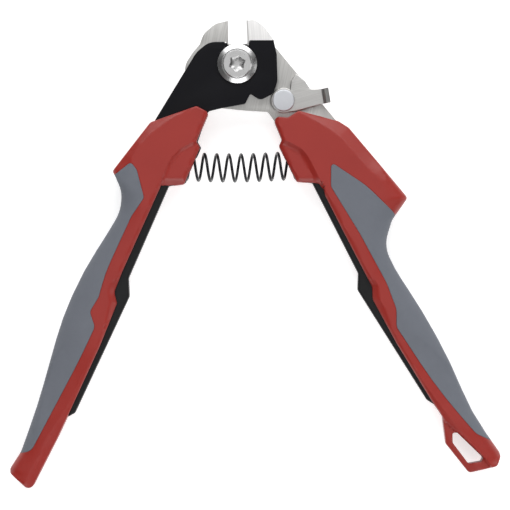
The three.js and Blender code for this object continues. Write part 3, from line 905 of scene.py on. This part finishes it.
def split(outline, border):
    """The grip's loop, the shells' loop and the line between them."""
    outline, border = rounded(outline), rounded(border)
    hits = []
    for i, (a, b) in enumerate(zip(outline, np.roll(outline, -1, axis=0))):
        for j, (c, d) in enumerate(zip(border, np.roll(border, -1, axis=0))):
            hit = crossing(a, b, c, d)
            if hit:
                hits.append((i, hit[0], j, hit[1]))
    outer = runs_between(outline, [(i, t) for i, t, _, _ in hits])
    seams = runs_between(border, [(j, u) for _, _, j, u in hits])
    seam = next(s for s in seams if contains(outline, s[len(s) // 2][None])[0])
    palm = next(r for r in outer if contains(border, r[len(r) // 2][None])[0])
    rest = next(r for r in outer if r is not palm)
    loops = []
    for run in (palm, rest):
        line = seam if np.allclose(run[-1], seam[0], atol=SAME_PLACE) else seam[::-1]
        loop = np.vstack([even(run, FIELD_PITCH)[:-1], even(line, FIELD_PITCH)[:-1]])
        loops.append(loop)
    return (*loops, seam)


left_grip_loop, left_shell_loop, left_seam = split(left_outline, left_grip_border)
right_grip_loop, right_shell_loop, right_seam = split(right_outline, right_grip_border)
print("seams, points:", len(left_seam), len(right_seam))

# %% [markdown]
# A shell's rounding at its free edge is about half a millimetre, as moulds have, and at the seam only a
# trace. Both come from the distance to the loop, which keeps the rounding even round every corner.

# %% Heights with edge rounding
SEAM_RADIUS = 0.22
RING_ANGLES = (15, 32, 50, 68, 90)
RINGS = [EDGE_RADIUS * (1 - math.cos(math.radians(a))) for a in RING_ANGLES]
FAR_OFF = 10.0
LOOP_FRAME_DROP = 2.2
LOOP_FRAME_STEP = 0.7
LOOP_TOP_Y = -128
loop_frame_line = [(75.2, -129.2), (77.6, -132.4), (81.9, -136.4), (91.8, -145.9), (95.2, -150.6)]


def with_edges(face, loops, seam, stands=0.0):
    """Adds the small roundings at the free edges and at the seam to a face rule."""
    borders = [back_to_start(loop) for loop in loops]

    def height(p):
        edge = np.min([reach(p, border)[0] for border in borders], axis=0)
        near_seam = reach(p, seam)[0]
        free = edge + np.where(near_seam < edge + SAME_PLACE, FAR_OFF, 0.0)
        drop = np.maximum(roll_off(free, EDGE_RADIUS, EDGE_RADIUS),
                          roll_off(near_seam, SEAM_RADIUS, SEAM_RADIUS))
        return face(p) + stands - drop
    return height


def right_shell_face(p):
    """The right face with the hanging loop set lower than the handle."""
    base = right_face(p)
    below = signed(p, loop_frame_line)
    outer = np.where(p[:, 1] < LOOP_TOP_Y, np.clip(-below / LOOP_FRAME_STEP, 0, 1), 0)
    return np.minimum(base, HALF - LOOP_FRAME_DROP * outer)


print("edge rings at, mm:", [round(r, 2) for r in RINGS])

# %% [markdown]
# ## Grip and shells
# The soft grip goes round the palm side from the front face to the rear one, so it is one closed piece
# with a relief on both faces. Each shell is half of the rest, cut out inside for the core, the blade's
# tang and the end of the spring, as the moulded part is.

# %% Grips
GRIP_STANDS = 0.12
left_grip_height = with_edges(left_face, [left_grip_loop], left_seam, GRIP_STANDS)
right_grip_height = with_edges(right_face, [right_grip_loop], right_seam, GRIP_STANDS)


def grip_mesh(name, loop, height):
    """A closed piece with the same relief on its front and rear faces."""
    return two_faced(name, [loop], [], RINGS, lambda p: HALF + height(p), lambda p: HALF - height(p))


left_grip = grip_mesh("left_grip_skin", left_grip_loop, left_grip_height)
right_grip = grip_mesh("right_grip_skin", right_grip_loop, right_grip_height)
finished(left_grip, "front_side", grey_elastomer, "left_grip")
finished(right_grip, "rear_side", grey_elastomer, "right_grip")
print("grip triangles:", len(left_grip.data.polygons), "open edges:", open_edges(left_grip))

# %% [markdown]
# The blades and the cores come next, because their outlines also cut the room they need in the shells.

# %% Blade and core outlines
JAW_TIP_Y = 16.1
SLOT_FLOOR_Y = 7.4
SLOT_HALF = 3.4

rear_blade_outline = [
    (-SLOT_HALF, JAW_TIP_Y), (-8.2, 15, 6), (-12.6, 11.2, 6), (-13.9, 7.4, 1.5), (-16.6, 4.2, 6),
    (-19.2, 0.2, 6), (-19.6, -3.6, 6), (-15.5, -11, 8), (-6, -16.4, 6),
    (3, -17.3), (11.4, -17.8, 1.5), (14.2, -21.8, 2), (27, -31.4, 5), (31, -43, 6), (38.6, -58.4, SOFT),
    (48, -77, 10), (53.4, -88, 1), (57, -86.2, 1), (51.6, -73, 10), (44.4, -60, 12), (41.4, -48, 8),
    (43.2, -38, 6), (36.9, -21.2, 4), (14.2, 6.2, 2), (10, 7.6, 1), (SLOT_HALF, SLOT_FLOOR_Y, 0.6),
    (-SLOT_HALF, SLOT_FLOOR_Y, 0.6),
]
front_blade_outline = [
    (SLOT_HALF, JAW_TIP_Y), (SLOT_HALF + 0.4, SLOT_FLOOR_Y, 0.6), (-3.1, SLOT_FLOOR_Y - 0.7, 0.5),
    (-4.2, 8.1, 0.8), (-10.6, 8.1, 7), (-15.2, 4.2, 8), (-30.3, -20.6, 4), (-36.8, -33, 5),
    (-37.4, -46, 6), (-40.4, -61, 10), (-47.6, -78, 8), (-50.4, -93, 1), (-46.8, -94, 1),
    (-44.2, -80, 8), (-36.4, -62, 10), (-28.4, -43, 6), (-25, -31.6, 4), (-13.4, -21.4, 3),
    (-10.4, -17.6, 1), (-6.2, -16.6, 2), (2.9, -14.9, 0.8),
    (4.2, -12.4, 0.6), (4.8, -11.1, 0.6), (8.6, -13.6, 2.5), (13.4, -11, 3), (14.9, -6.4, 5),
    (14.7, 3.4, 5), (13.4, 9.2, 1), (9.8, 14, 6), (6.2, 16.4, 3),
]
left_core_outline = [
    (-13.2, -24.6), (-14.7, -29, 0.6), (-13.4, -31.1, 0.6), (-19.2, -44.3), (-25.4, -45.5, 0.5),
    (-40.3, -79.6, 2), (-40, -86.4, 2), (-60.2, -129.6, 1), (-62.6, -131), (-62.2, -127, 2),
    (-54, -108, 10), (-51.8, -94, 6), (-49.6, -78, 8), (-41.4, -60.6, 10), (-39.2, -46, 6),
    (-38.8, -33, 6), (-32, -24.4),
]
right_core_outline = [
    (15.3, -24.6), (16.9, -28.4, 0.6), (16, -30.6, 0.6), (22.7, -43.5), (27.9, -44.4, 0.5),
    (44.9, -77.8, 2), (44.7, -84, 2), (70.4, -124.8, 1), (73.2, -126.6), (69.6, -119.4, 5),
    (59, -97, 10), (58.2, -86, 2), (54, -75, 8), (46.4, -60, 10), (43.4, -48, 8), (45, -38.4, 5),
    (36, -24.4),
]
print("blade corners:", len(rear_blade_outline), len(front_blade_outline))

# %% Shells
BLADE = 4.0
REAR_BLADE_LOW = HALF - GAP / 2 - BLADE
FRONT_BLADE_LOW = HALF + GAP / 2
CORE_LOW, CORE_HIGH = 3.0, 14.0
FIT = 0.12
SEAM_Z = 0.07
POCKET_R = 6.0
POCKET_LENGTH = 11.5
POCKET_BEHIND = 1.0
SPRING_LEFT = Vector((-21.2, -37.9, HALF))
SPRING_RIGHT = Vector((24.0, -37.3, HALF))


def block_tool(corners, low, high):
    """A sharp-edged solid of an outline and a little more, to cut room with."""
    return plate("cutter", [rounded(grown(corners, FIT))], low - FIT, high + FIT, 0.0, 0)


def pocket_tool(end, into):
    """A round bar along X, from behind the end of the spring out through the block's face."""
    shift = into * (POCKET_LENGTH / 2 - POCKET_BEHIND)
    return bar("cutter", POCKET_R, POCKET_LENGTH, end + Vector((shift, 0, 0)), 64)


def handle_shells(side, body, loops, seam, face, creases, core, blade, blade_low, end, into):
    """The front and rear shells of one handle. into is +1 or -1, the way along X to the spring."""
    height = with_edges(face, loops, seam)
    for place, sign in (("front", 1), ("rear", -1)):
        shell = two_faced(f"{side}_{place}_shell_skin", loops, creases, RINGS,
                          lambda p: HALF + sign * height(p),
                          lambda p: np.full(len(p), HALF + sign * SEAM_Z))
        carve(shell, block_tool(core, CORE_LOW, CORE_HIGH))
        carve(shell, block_tool(blade, blade_low, blade_low + BLADE))
        carve(shell, pocket_tool(end, into))
        finished(shell, body, red_abs, f"{side}_{place}_shell")
        print(shell.name, len(shell.data.polygons), "faces, open edges", open_edges(shell))


handle_shells("left", "front_side", [left_shell_loop], left_seam, left_face,
              [left_facet_crease, left_block_crease, left_ridge], left_core_outline,
              front_blade_outline, FRONT_BLADE_LOW, SPRING_LEFT, 1)
right_hole_loop = even(rounded(loop_hole), 0.5, closed=True)
handle_shells("right", "rear_side", [right_shell_loop, right_hole_loop], right_seam, right_shell_face,
              [right_facet_crease, right_block_crease, right_ridge, loop_frame_line], right_core_outline,
              rear_blade_outline, REAR_BLADE_LOW, SPRING_RIGHT, -1)

# %% [markdown]
# ## Blades
# Both blades are stamped from 4 mm sheet, ground flat, and mirror each other's job: each has one jaw and
# one tang. A flat curve with its holes, filled on both sides and extruded with a small bevel, gives such a
# stamping with its edges just broken. The bevels of the cutting edges are then sliced off with big wedges.

# %% Blade blanks
BOLT_R = 4.0
PIN_R = 1.5
RIVET_R = 2.2
LEFT_PIN = (-37.2, -55.0)
RIGHT_PIN = (40.6, -55.0)
HOLE_FIT = 0.15
REAR_BLADE_EDGE, FRONT_BLADE_EDGE = 0.15, 0.3
BLADE_CRISP = math.radians(25)


def circle(centre, radius, steps=72):
    """A closed loop round a centre, in mm."""
    angles = np.linspace(0, 2 * math.pi, steps, endpoint=False)
    return np.array([(centre[0] + radius * math.cos(a), centre[1] + radius * math.sin(a)) for a in angles])


def wedge(corners, axis_from, axis_to):
    """A prism: a closed section in the plane across an axis, drawn as 3-D points at one end."""
    work = bmesh.new()
    shift = Vector(axis_to) - Vector(axis_from)
    near = [work.verts.new(c) for c in corners]
    far = [work.verts.new(Vector(c) + shift) for c in corners]
    work.faces.new(near)
    work.faces.new(list(reversed(far)))
    for k in range(len(near)):
        n = (k + 1) % len(near)
        work.faces.new((near[n], near[k], far[k], far[n]))
    return from_bmesh("wedge", work)


rear_blade = plate("rear_blade_stamping", [
    rounded(rear_blade_outline),
    circle((0, 0), BOLT_R + HOLE_FIT),
    circle(RIVET, RIVET_R + HOLE_FIT),
    circle(RIGHT_PIN, PIN_R + HOLE_FIT),
], REAR_BLADE_LOW, REAR_BLADE_LOW + BLADE, REAR_BLADE_EDGE, 2)
front_blade = plate("front_blade_stamping", [
    rounded(front_blade_outline),
    circle((0, 0), BOLT_R + HOLE_FIT),
    circle(LEFT_PIN, PIN_R + HOLE_FIT),
], FRONT_BLADE_LOW, FRONT_BLADE_LOW + BLADE, FRONT_BLADE_EDGE, 3)
print("blade faces:", len(rear_blade.data.polygons), len(front_blade.data.polygons))
print("open edges:", open_edges(rear_blade), open_edges(front_blade))

# %% [markdown]
# The jaw of the front blade is ground back from a straight line just above the bolt, which leaves bare
# bright steel, and its inner side carries the steep cutting bevel. The rear jaw has the same two faces on
# its own outer side. A closed wedge taken away with a boolean gives each ground face its exact plane.

# %% Ground faces
GRIND_LINE_Y = 8.7
GRIND_DROP = 0.9
BEVEL_WIDTH = 1.15
BEVEL_DEEP = 1.1
BEVEL_TAPER = 0.75
EDGE_LEAN = 0.055
EDGE_BACK = 0.05
BELOW_SLOT = 0.6
BEYOND_TIP = 2.0
CUT_WIDE, CUT_DEEP, CUT_OVER, CUT_SLANT = 2.0, 1.0, 1.4, 1.4
REACH = 30.0


def grind(blade, face_z, out, side):
    """Cuts the long ground face and the cutting bevel. out is +1 for a face towards +z."""
    slope = GRIND_DROP / (JAW_TIP_Y - GRIND_LINE_Y)
    far_y = GRIND_LINE_Y + REACH
    ground = [
        (-REACH, GRIND_LINE_Y, face_z),
        (-REACH, far_y, face_z - out * slope * REACH),
        (-REACH, far_y, face_z + out * REACH),
        (-REACH, GRIND_LINE_Y, face_z + out * REACH),
    ]
    carve(blade, wedge(ground, (-REACH, 0, 0), (REACH, 0, 0)))
    edge = side * SLOT_HALF
    turn = side * BEVEL_WIDTH
    low_y = SLOT_FLOOR_Y - BELOW_SLOT
    section = [
        (edge - side * CUT_WIDE, low_y, face_z - out * (BEVEL_DEEP + CUT_DEEP)),
        (edge - side * EDGE_BACK, low_y, face_z - out * (BEVEL_DEEP + CUT_DEEP)),
        (edge + side * EDGE_LEAN, low_y, face_z - out * BEVEL_DEEP),
        (edge + turn, low_y, face_z),
        (edge + turn * CUT_SLANT, low_y, face_z + out * CUT_OVER),
        (edge - side * CUT_WIDE, low_y, face_z + out * CUT_OVER),
    ]
    rise = out * slope * (GRIND_LINE_Y - low_y)
    section = [(x, y, z + rise) for x, y, z in section]
    length = JAW_TIP_Y + BEYOND_TIP - low_y
    carve(blade, wedge(section, (0, low_y, 0), (-side * BEVEL_TAPER, low_y + length, -out * slope * length)))


grind(front_blade, FRONT_BLADE_LOW + BLADE, 1, 1)
grind(rear_blade, REAR_BLADE_LOW, -1, -1)
for blade in (front_blade, rear_blade):
    print(blade.name, len(blade.data.polygons), "faces, open edges", open_edges(blade))

# %% [markdown]
# The bare jaw gets its own material on the faces that the grinder touched. They are found by their place,
# above the grinding line, so the border is as sharp as the real one.

# %% Blade materials
BARE_BESIDE_SLOT = 1.2
BARE_FROM_Y = 7.6


def bare_above(blade, material, line_y):
    """Gives the second material to every face whose middle lies above a line."""
    blade.data.materials.append(material)
    for face in blade.data.polygons:
        above = face.center.y > line_y * MM
        off_slot = abs(abs(face.center.x) - SLOT_HALF * MM)
        beside_slot = off_slot < BARE_BESIDE_SLOT * MM and face.center.y > BARE_FROM_Y * MM
        face.material_index = 1 if above or beside_slot else 0
    return sum(face.material_index for face in blade.data.polygons)


finished(front_blade, "front_side", black_oxide, "front_blade", crisp=BLADE_CRISP)
finished(rear_blade, "rear_side", satin_steel, "rear_blade", crisp=BLADE_CRISP)
print("bare faces:", bare_above(front_blade, bare_edge_steel, GRIND_LINE_Y))

# %% [markdown]
# ## Pivot
# A countersunk cup washer, a flat bolt head with a six-lobed socket, a plain washer and a lock nut with
# a nylon ring hold the blades together. Turned pieces are profiles spun round the bolt's line; only the
# socket and the hexagon aren't round, so the one is cut with a closed solid and the other is a plate.

# %% Bolt and washers
CUP_LOW = FRONT_BLADE_LOW + BLADE + GAP
CUP_R = 7.35
CUP_TOP = CUP_LOW + 1.8
CUP_FLOOR = CUP_LOW + 0.7
HEAD_R = 5.4
HEAD_GAP = 0.12
HEAD_LOW = CUP_FLOOR + GAP
HEAD_TOP = HEAD_LOW + 1.3
CUP_WALL_R = HEAD_R + HEAD_GAP
CUP_WAIST_Z = CUP_LOW + 0.85
CUP_FOOT, CUP_RIM = 0.1, 0.15
BOLT_LOW = 0.1
BOLT_CHAMFER = 0.6
HEAD_CHAMFER = (0.35, 0.3)
LOBES = 6
LOBE_R = 3.45
LOBE_WAIST_R = 2.5
LOBE_SOFT, WAIST_SOFT = 0.5, 0.75
SOCKET_TURN = 20
SOCKET_DEPTH = 2.4
SOCKET_TAPER = 0.72
SOCKET_OVER = 0.05
DRILL_POINT = 0.5
REAR_WASHER_LOW, REAR_WASHER_HIGH = 3.3, 4.05

cup_washer = turned("cup_washer_turned", [
    (BOLT_R + GAP, CUP_LOW, 0.1), (CUP_R - CUP_FOOT, CUP_LOW, 0.1), (CUP_R, CUP_WAIST_Z, 0.2),
    (CUP_WALL_R + CUP_RIM, CUP_TOP, 0.1), (CUP_WALL_R, CUP_TOP, 0.05), (CUP_WALL_R, CUP_FLOOR, 0.05),
    (BOLT_R + GAP, CUP_FLOOR, 0.1),
])
bolt = turned("bolt_turned", [
    (0, BOLT_LOW), (BOLT_R - BOLT_CHAMFER, BOLT_LOW, 0.1), (BOLT_R, BOLT_LOW + BOLT_CHAMFER, 0.1),
    (BOLT_R, HEAD_LOW, 0.1), (HEAD_R, HEAD_LOW, 0.15), (HEAD_R, HEAD_TOP - HEAD_CHAMFER[1], 0.2),
    (HEAD_R - HEAD_CHAMFER[0], HEAD_TOP, 0.2), (0, HEAD_TOP),
])


def lobed_loop():
    """The six-lobed star of the socket: round points with round hollows between them."""
    corners = []
    for i in range(2 * LOBES):
        angle = math.radians(SOCKET_TURN + 180 / LOBES * i)
        r, softness = (LOBE_WAIST_R, WAIST_SOFT) if i % 2 else (LOBE_R, LOBE_SOFT)
        corners.append((r * math.cos(angle), r * math.sin(angle), softness))
    return rounded(corners)


def tapered(loop, bottom_share, low, high, point):
    """A solid over a loop that narrows towards its lower end, with a drilled cone below it."""
    work = bmesh.new()
    upper = [work.verts.new((x, y, high)) for x, y in loop]
    lower = [work.verts.new((x * bottom_share, y * bottom_share, low)) for x, y in loop]
    tip = work.verts.new((0, 0, low - point))
    work.faces.new(upper)
    for k in range(len(loop)):
        n = (k + 1) % len(loop)
        work.faces.new((upper[n], upper[k], lower[k], lower[n]))
        work.faces.new((lower[n], lower[k], tip))
    return from_bmesh("tapered", work)


carve(bolt, tapered(lobed_loop(), SOCKET_TAPER, HEAD_TOP - SOCKET_DEPTH, HEAD_TOP + SOCKET_OVER,
                    DRILL_POINT))
rear_washer = turned("rear_washer_stamped", [
    (BOLT_R + GAP, REAR_WASHER_LOW, 0.05), (CUP_R, REAR_WASHER_LOW, 0.15),
    (CUP_R, REAR_WASHER_HIGH, 0.15), (BOLT_R + GAP, REAR_WASHER_HIGH, 0.05),
])
finished(cup_washer, "rear_side", bolt_steel, "pivot_cup_washer")
finished(bolt, "rear_side", bolt_steel, "pivot_bolt")
finished(rear_washer, "rear_side", satin_steel, "pivot_rear_washer")
print("bolt head top, mm:", HEAD_TOP, "open edges:", open_edges(bolt), open_edges(cup_washer))

# %% Lock nut
NUT_FLATS = 12.0
NUT_LOW, NUT_HIGH = 0.3, 3.0
NUT_BEVEL = 0.1
NUT_CHAMFER_INSET = 0.2
NUT_CHAMFER_RISE = 0.75
NUT_CLEAR = 0.3
OVER = 0.01
NYLON_R = 5.1
NYLON_T = 0.8
NYLON_FIT = 0.1
NYLON_BORE_R = BOLT_R + HOLE_FIT
nut_corner = NUT_FLATS / 2 / math.cos(math.pi / 6)
nut = plate("lock_nut_hexagon", [circle((0, 0), nut_corner, 6)], NUT_LOW, NUT_HIGH, NUT_BEVEL, 1)
chamfer = turned("chamfer", [
    (0, NUT_LOW - OVER), (NUT_FLATS / 2 - NUT_CHAMFER_INSET, NUT_LOW - OVER),
    (nut_corner + NUT_CLEAR, NUT_LOW + NUT_CHAMFER_RISE), (nut_corner + NUT_CLEAR, NUT_HIGH + OVER),
    (0, NUT_HIGH + OVER),
])
carve(nut, chamfer, "INTERSECT")
carve(nut, bore(BOLT_R + GAP))
carve(nut, bore(NYLON_R + NYLON_FIT, high=NUT_LOW + NYLON_T + NYLON_FIT))
nylon_ring = turned("nylon_ring_moulded", [
    (NYLON_BORE_R, NUT_LOW + NYLON_FIT, 0.2), (NYLON_R, NUT_LOW + NYLON_FIT, 0.2),
    (NYLON_R, NUT_LOW + NYLON_T, 0.1), (NYLON_BORE_R, NUT_LOW + NYLON_T, 0.1),
])
finished(nut, "rear_side", pin_steel, "pivot_nut")
finished(nylon_ring, "rear_side", white_nylon, "nut_nylon_ring")
print("nut faces:", len(nut.data.polygons), "open edges:", open_edges(nut))

# %% [markdown]
# ## Latch
# The latch is a thin stamping on a rivet with a wave washer below it. Its tip is bent up to make a thumb
# tab. The plate is a flat stamping like the blades, and the tab is a second loop of sheet bent through a
# real radius, joined to it with a boolean.

# %% Latch lever
LATCH_LOW = 9.35
LATCH_T = 1.5
LATCH_HIGH = LATCH_LOW + LATCH_T
EYE_R = 4.7
LATCH_EDGE = 0.3
TAB_TOP = 16.0
TAB_ROOT = 1.2
TAB_FOOT = 2.2
TAB_LEAN = 2.6
TAB_BEND = 1.8
TAB_SHEAR = 0.45
TAB_EDGE = 0.15

arm_outline = [
    (17.2, -18.2), (22, -17.6, 3), (31.9, -14.8), (30.9, -9.3), (27, -9.3, 1.5), (25, -6.2, 1),
    (21.9, -3.6, 0.6), (20, -6.3, 0.5), (19.6, -9.8, 0.4), (17.2, -10),
]
tab_top_end = Vector((31.2, -9.35, 0))
tab_foot_end = Vector((32.1, -14.8, 0))
tab_along = tab_foot_end - tab_top_end
tab_out = Vector((-tab_along.y, tab_along.x, 0)).normalized()


def bent_section():
    """The tab's section: distance outwards and height, with the bend as two arcs."""
    return rounded([
        (-TAB_ROOT, LATCH_LOW), (TAB_FOOT, LATCH_LOW, TAB_BEND), (TAB_LEAN, TAB_TOP - TAB_SHEAR, TAB_EDGE),
        (TAB_LEAN - LATCH_T, TAB_TOP, TAB_EDGE), (TAB_FOOT - LATCH_T, LATCH_HIGH, TAB_BEND - LATCH_T / 2),
        (-TAB_ROOT, LATCH_HIGH),
    ])


latch = plate("latch_stamping", [rounded(arm_outline)], LATCH_LOW, LATCH_HIGH, LATCH_EDGE, 3)
eye = turned("eye", [(0, LATCH_LOW), (EYE_R, LATCH_LOW, LATCH_EDGE), (EYE_R, LATCH_HIGH, LATCH_EDGE),
                     (0, LATCH_HIGH)], RIVET)
carve(latch, eye, "UNION")
tab = wedge([tab_top_end + tab_out * d + Vector((0, 0, z)) for d, z in bent_section()],
            tab_top_end, tab_foot_end)
carve(latch, tab, "UNION")
carve(latch, bore(RIVET_R + HOLE_FIT, RIVET))
finished(latch, "latch", latch_steel, "latch_lever", crisp=BLADE_CRISP)
print("latch faces:", len(latch.data.polygons), "open edges:", open_edges(latch))

# %% Rivet and wave washer
RIVET_HEAD_LOW = LATCH_HIGH + GAP
RIVET_HEAD_R = 4.05
RIVET_HEAD_T = 1.2
RIVET_HEAD_TOP = RIVET_HEAD_LOW + RIVET_HEAD_T
RIVET_TAIL_R = RIVET_R + 1
WAVE_LOW = FRONT_BLADE_LOW
WAVE_INNER_R, WAVE_OUTER_R = RIVET_R + GAP, RIVET_R + 1.8
WAVE_T = 0.2
WAVE_RISE = 0.2
WAVES = 3
WAVE_STEPS = 96


def wave_ring():
    """A thin ring round the rivet whose height goes up and down as it goes round."""
    work = bmesh.new()
    section = [(WAVE_INNER_R, 0), (WAVE_OUTER_R, 0), (WAVE_OUTER_R, WAVE_T), (WAVE_INNER_R, WAVE_T)]
    rings = []
    for k in range(WAVE_STEPS):
        angle = 2 * math.pi * k / WAVE_STEPS
        c, s = math.cos(angle), math.sin(angle)
        lift = WAVE_LOW + WAVE_RISE * (0.5 - 0.5 * math.cos(WAVES * angle))
        rings.append([work.verts.new((RIVET[0] + r * c, RIVET[1] + r * s, lift + z)) for r, z in section])
    for k, ring in enumerate(rings):
        onward = rings[(k + 1) % WAVE_STEPS]
        for j in range(4):
            work.faces.new((ring[j], ring[(j + 1) % 4], onward[(j + 1) % 4], onward[j]))
    return from_bmesh("wave_washer_sprung", work)


rivet = turned("rivet_headed", [
    (0, REAR_WASHER_LOW), (RIVET_TAIL_R, REAR_WASHER_LOW, 0.25), (RIVET_TAIL_R, REAR_WASHER_HIGH, 0.05),
    (RIVET_R, REAR_WASHER_HIGH), (RIVET_R, RIVET_HEAD_LOW), (RIVET_HEAD_R, RIVET_HEAD_LOW, 0.1),
    (RIVET_HEAD_R, RIVET_HEAD_TOP, 0.35), (0, RIVET_HEAD_TOP),
], RIVET)
wave_washer = wave_ring()
finished(rivet, "rear_side", rivet_steel, "latch_rivet")
finished(wave_washer, "rear_side", satin_steel, "latch_wave_washer")
print("rivet open edges:", open_edges(rivet), "wave washer:", open_edges(wave_washer))

# %% [markdown]
# ## Cores and pins
# The black cores fill the handles and show as a strip along the inner side. A plate with a broken edge
# is cut for the tang and for the pocket of the spring, and a short post in the pocket keeps the last
# coils centred.

# %% Cores
POST_R = 3.8
POST_LENGTH = 2.5
POST_ROOT = 2.5
CORE_BEVEL = 0.75


def post(end, into):
    """The short bar inside the last coils."""
    length = POST_LENGTH + POST_ROOT
    shift = into * (POST_LENGTH - length / 2)
    return bar("post", POST_R, length, end + Vector((shift, 0, 0)), 48)


def core_mesh(side, body, outline, blade, blade_low, pin, end, into):
    """One handle's core with its cut-outs."""
    core = plate(f"{side}_core_moulded", [rounded(outline)], CORE_LOW, CORE_HIGH, CORE_BEVEL, 3)
    carve(core, pocket_tool(end, into))
    carve(core, post(end, into), "UNION")
    carve(core, block_tool(blade, blade_low, blade_low + BLADE))
    carve(core, bore(PIN_R + HOLE_FIT, pin))
    finished(core, body, black_nylon, f"{side}_handle_core")
    print(core.name, len(core.data.polygons), "faces, open edges", open_edges(core))


core_mesh("left", "front_side", left_core_outline, front_blade_outline, FRONT_BLADE_LOW, LEFT_PIN,
          SPRING_LEFT, 1)
core_mesh("right", "rear_side", right_core_outline, rear_blade_outline, REAR_BLADE_LOW, RIGHT_PIN,
          SPRING_RIGHT, -1)
for side, centre, body in (("left", LEFT_PIN, "front_side"), ("right", RIGHT_PIN, "rear_side")):
    pin = turned(f"{side}_pin_drawn", [(0, CORE_LOW), (PIN_R, CORE_LOW, 0.3), (PIN_R, CORE_HIGH, 0.3),
                                       (0, CORE_HIGH)], centre, 48)
    finished(pin, body, pin_steel, f"{side}_tang_pin")

# %% [markdown]
# ## Return spring
# A compression spring follows a rule: a circle that advances along a line. Its end coils are hidden in
# the pockets, so every turn has the same pitch here. Geometry Nodes make it. A line is bent into a shallow
# arc and turned into a helix by a position rule, and a circle is swept along it.

# %% Spring tree
COIL_R = 5.0
WIRE_R = 0.52
TURNS = 10.0
SAG = 1.0
STEPS_PER_TURN = 28
WIRE_SIDES = 12

tree = bpy.data.node_groups.new("coil_spring", "GeometryNodeTree")
tree.interface.new_socket("Geometry", in_out="OUTPUT", socket_type="NodeSocketGeometry")
sockets = {}
for label, kind, value in (
    ("Start", "NodeSocketVector", SPRING_LEFT * MM),
    ("End", "NodeSocketVector", SPRING_RIGHT * MM),
    ("Coil Radius", "NodeSocketFloat", COIL_R * MM),
    ("Wire Radius", "NodeSocketFloat", WIRE_R * MM),
    ("Turns", "NodeSocketFloat", TURNS),
    ("Sag", "NodeSocketFloat", SAG * MM),
    ("Material", "NodeSocketMaterial", spring_wire),
):
    socket = tree.interface.new_socket(label, in_out="INPUT", socket_type=kind)
    sockets[label] = (socket.identifier, value)
inputs = add(tree, "NodeGroupInput").outputs


def maths(kind, a, b):
    """One step of arithmetic in the spring's tree."""
    return add(tree, "ShaderNodeMath", [(0, a), (1, b)], operation=kind).outputs[0]


count = int(TURNS * STEPS_PER_TURN) + 1
line = add(tree, "GeometryNodeMeshLine", [("Count", count)])
path = add(tree, "GeometryNodeMeshToCurve", [("Mesh", line.outputs["Mesh"])])
share = maths("DIVIDE", add(tree, "GeometryNodeInputIndex").outputs[0], count - 1)
middle = add(tree, "ShaderNodeMix", [("Factor", share), ("A", inputs["Start"]), ("B", inputs["End"])],
             data_type="VECTOR").outputs["Result"]
angle = maths("MULTIPLY", maths("MULTIPLY", share, inputs["Turns"]), 2 * math.pi)
arch = maths("MULTIPLY", maths("MULTIPLY", share, maths("SUBTRACT", 1.0, share)), -4.0)
drop = maths("MULTIPLY", arch, inputs["Sag"])
across = maths("MULTIPLY", maths("COSINE", angle, 0.0), inputs["Coil Radius"])
upward = maths("MULTIPLY", maths("SINE", angle, 0.0), inputs["Coil Radius"])
offset = add(tree, "ShaderNodeCombineXYZ", [("Y", maths("ADD", across, drop)), ("Z", upward)])
place = add(tree, "ShaderNodeVectorMath", [(0, middle), (1, offset.outputs[0])], operation="ADD")
helix = add(tree, "GeometryNodeSetPosition", [
    ("Geometry", path.outputs["Curve"]),
    ("Position", place.outputs[0]),
])
section = add(tree, "GeometryNodeCurvePrimitiveCircle", [
    ("Resolution", WIRE_SIDES),
    ("Radius", inputs["Wire Radius"]),
])
wire = add(tree, "GeometryNodeCurveToMesh", [
    ("Curve", helix.outputs["Geometry"]),
    ("Profile Curve", section.outputs["Curve"]),
    ("Fill Caps", True),
])
smooth = add(tree, "GeometryNodeSetShadeSmooth", [("Geometry", wire.outputs["Mesh"])])
real = add(tree, "GeometryNodeRealizeInstances", [("Geometry", smooth.outputs[0])])
coated = add(tree, "GeometryNodeSetMaterial", [
    ("Geometry", real.outputs[0]),
    ("Material", inputs["Material"]),
])
add(tree, "NodeGroupOutput", [("Geometry", coated.outputs[0])])
print("spring path points:", count)

# %% Spring mesh
carrier = placed("carrier", bpy.data.meshes.new("carrier"))
modifier = carrier.modifiers.new("coil", "NODES")
modifier.node_group = tree
for identifier, value in sockets.values():
    modifier[identifier] = value
graph = bpy.context.evaluated_depsgraph_get()
spring_mesh = bpy.data.meshes.new_from_object(carrier.evaluated_get(graph))
bpy.data.objects.remove(carrier)
spring = placed("return_spring_coiled", spring_mesh)
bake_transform(spring)
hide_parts("return_spring")
print("spring faces:", len(spring_mesh.polygons))
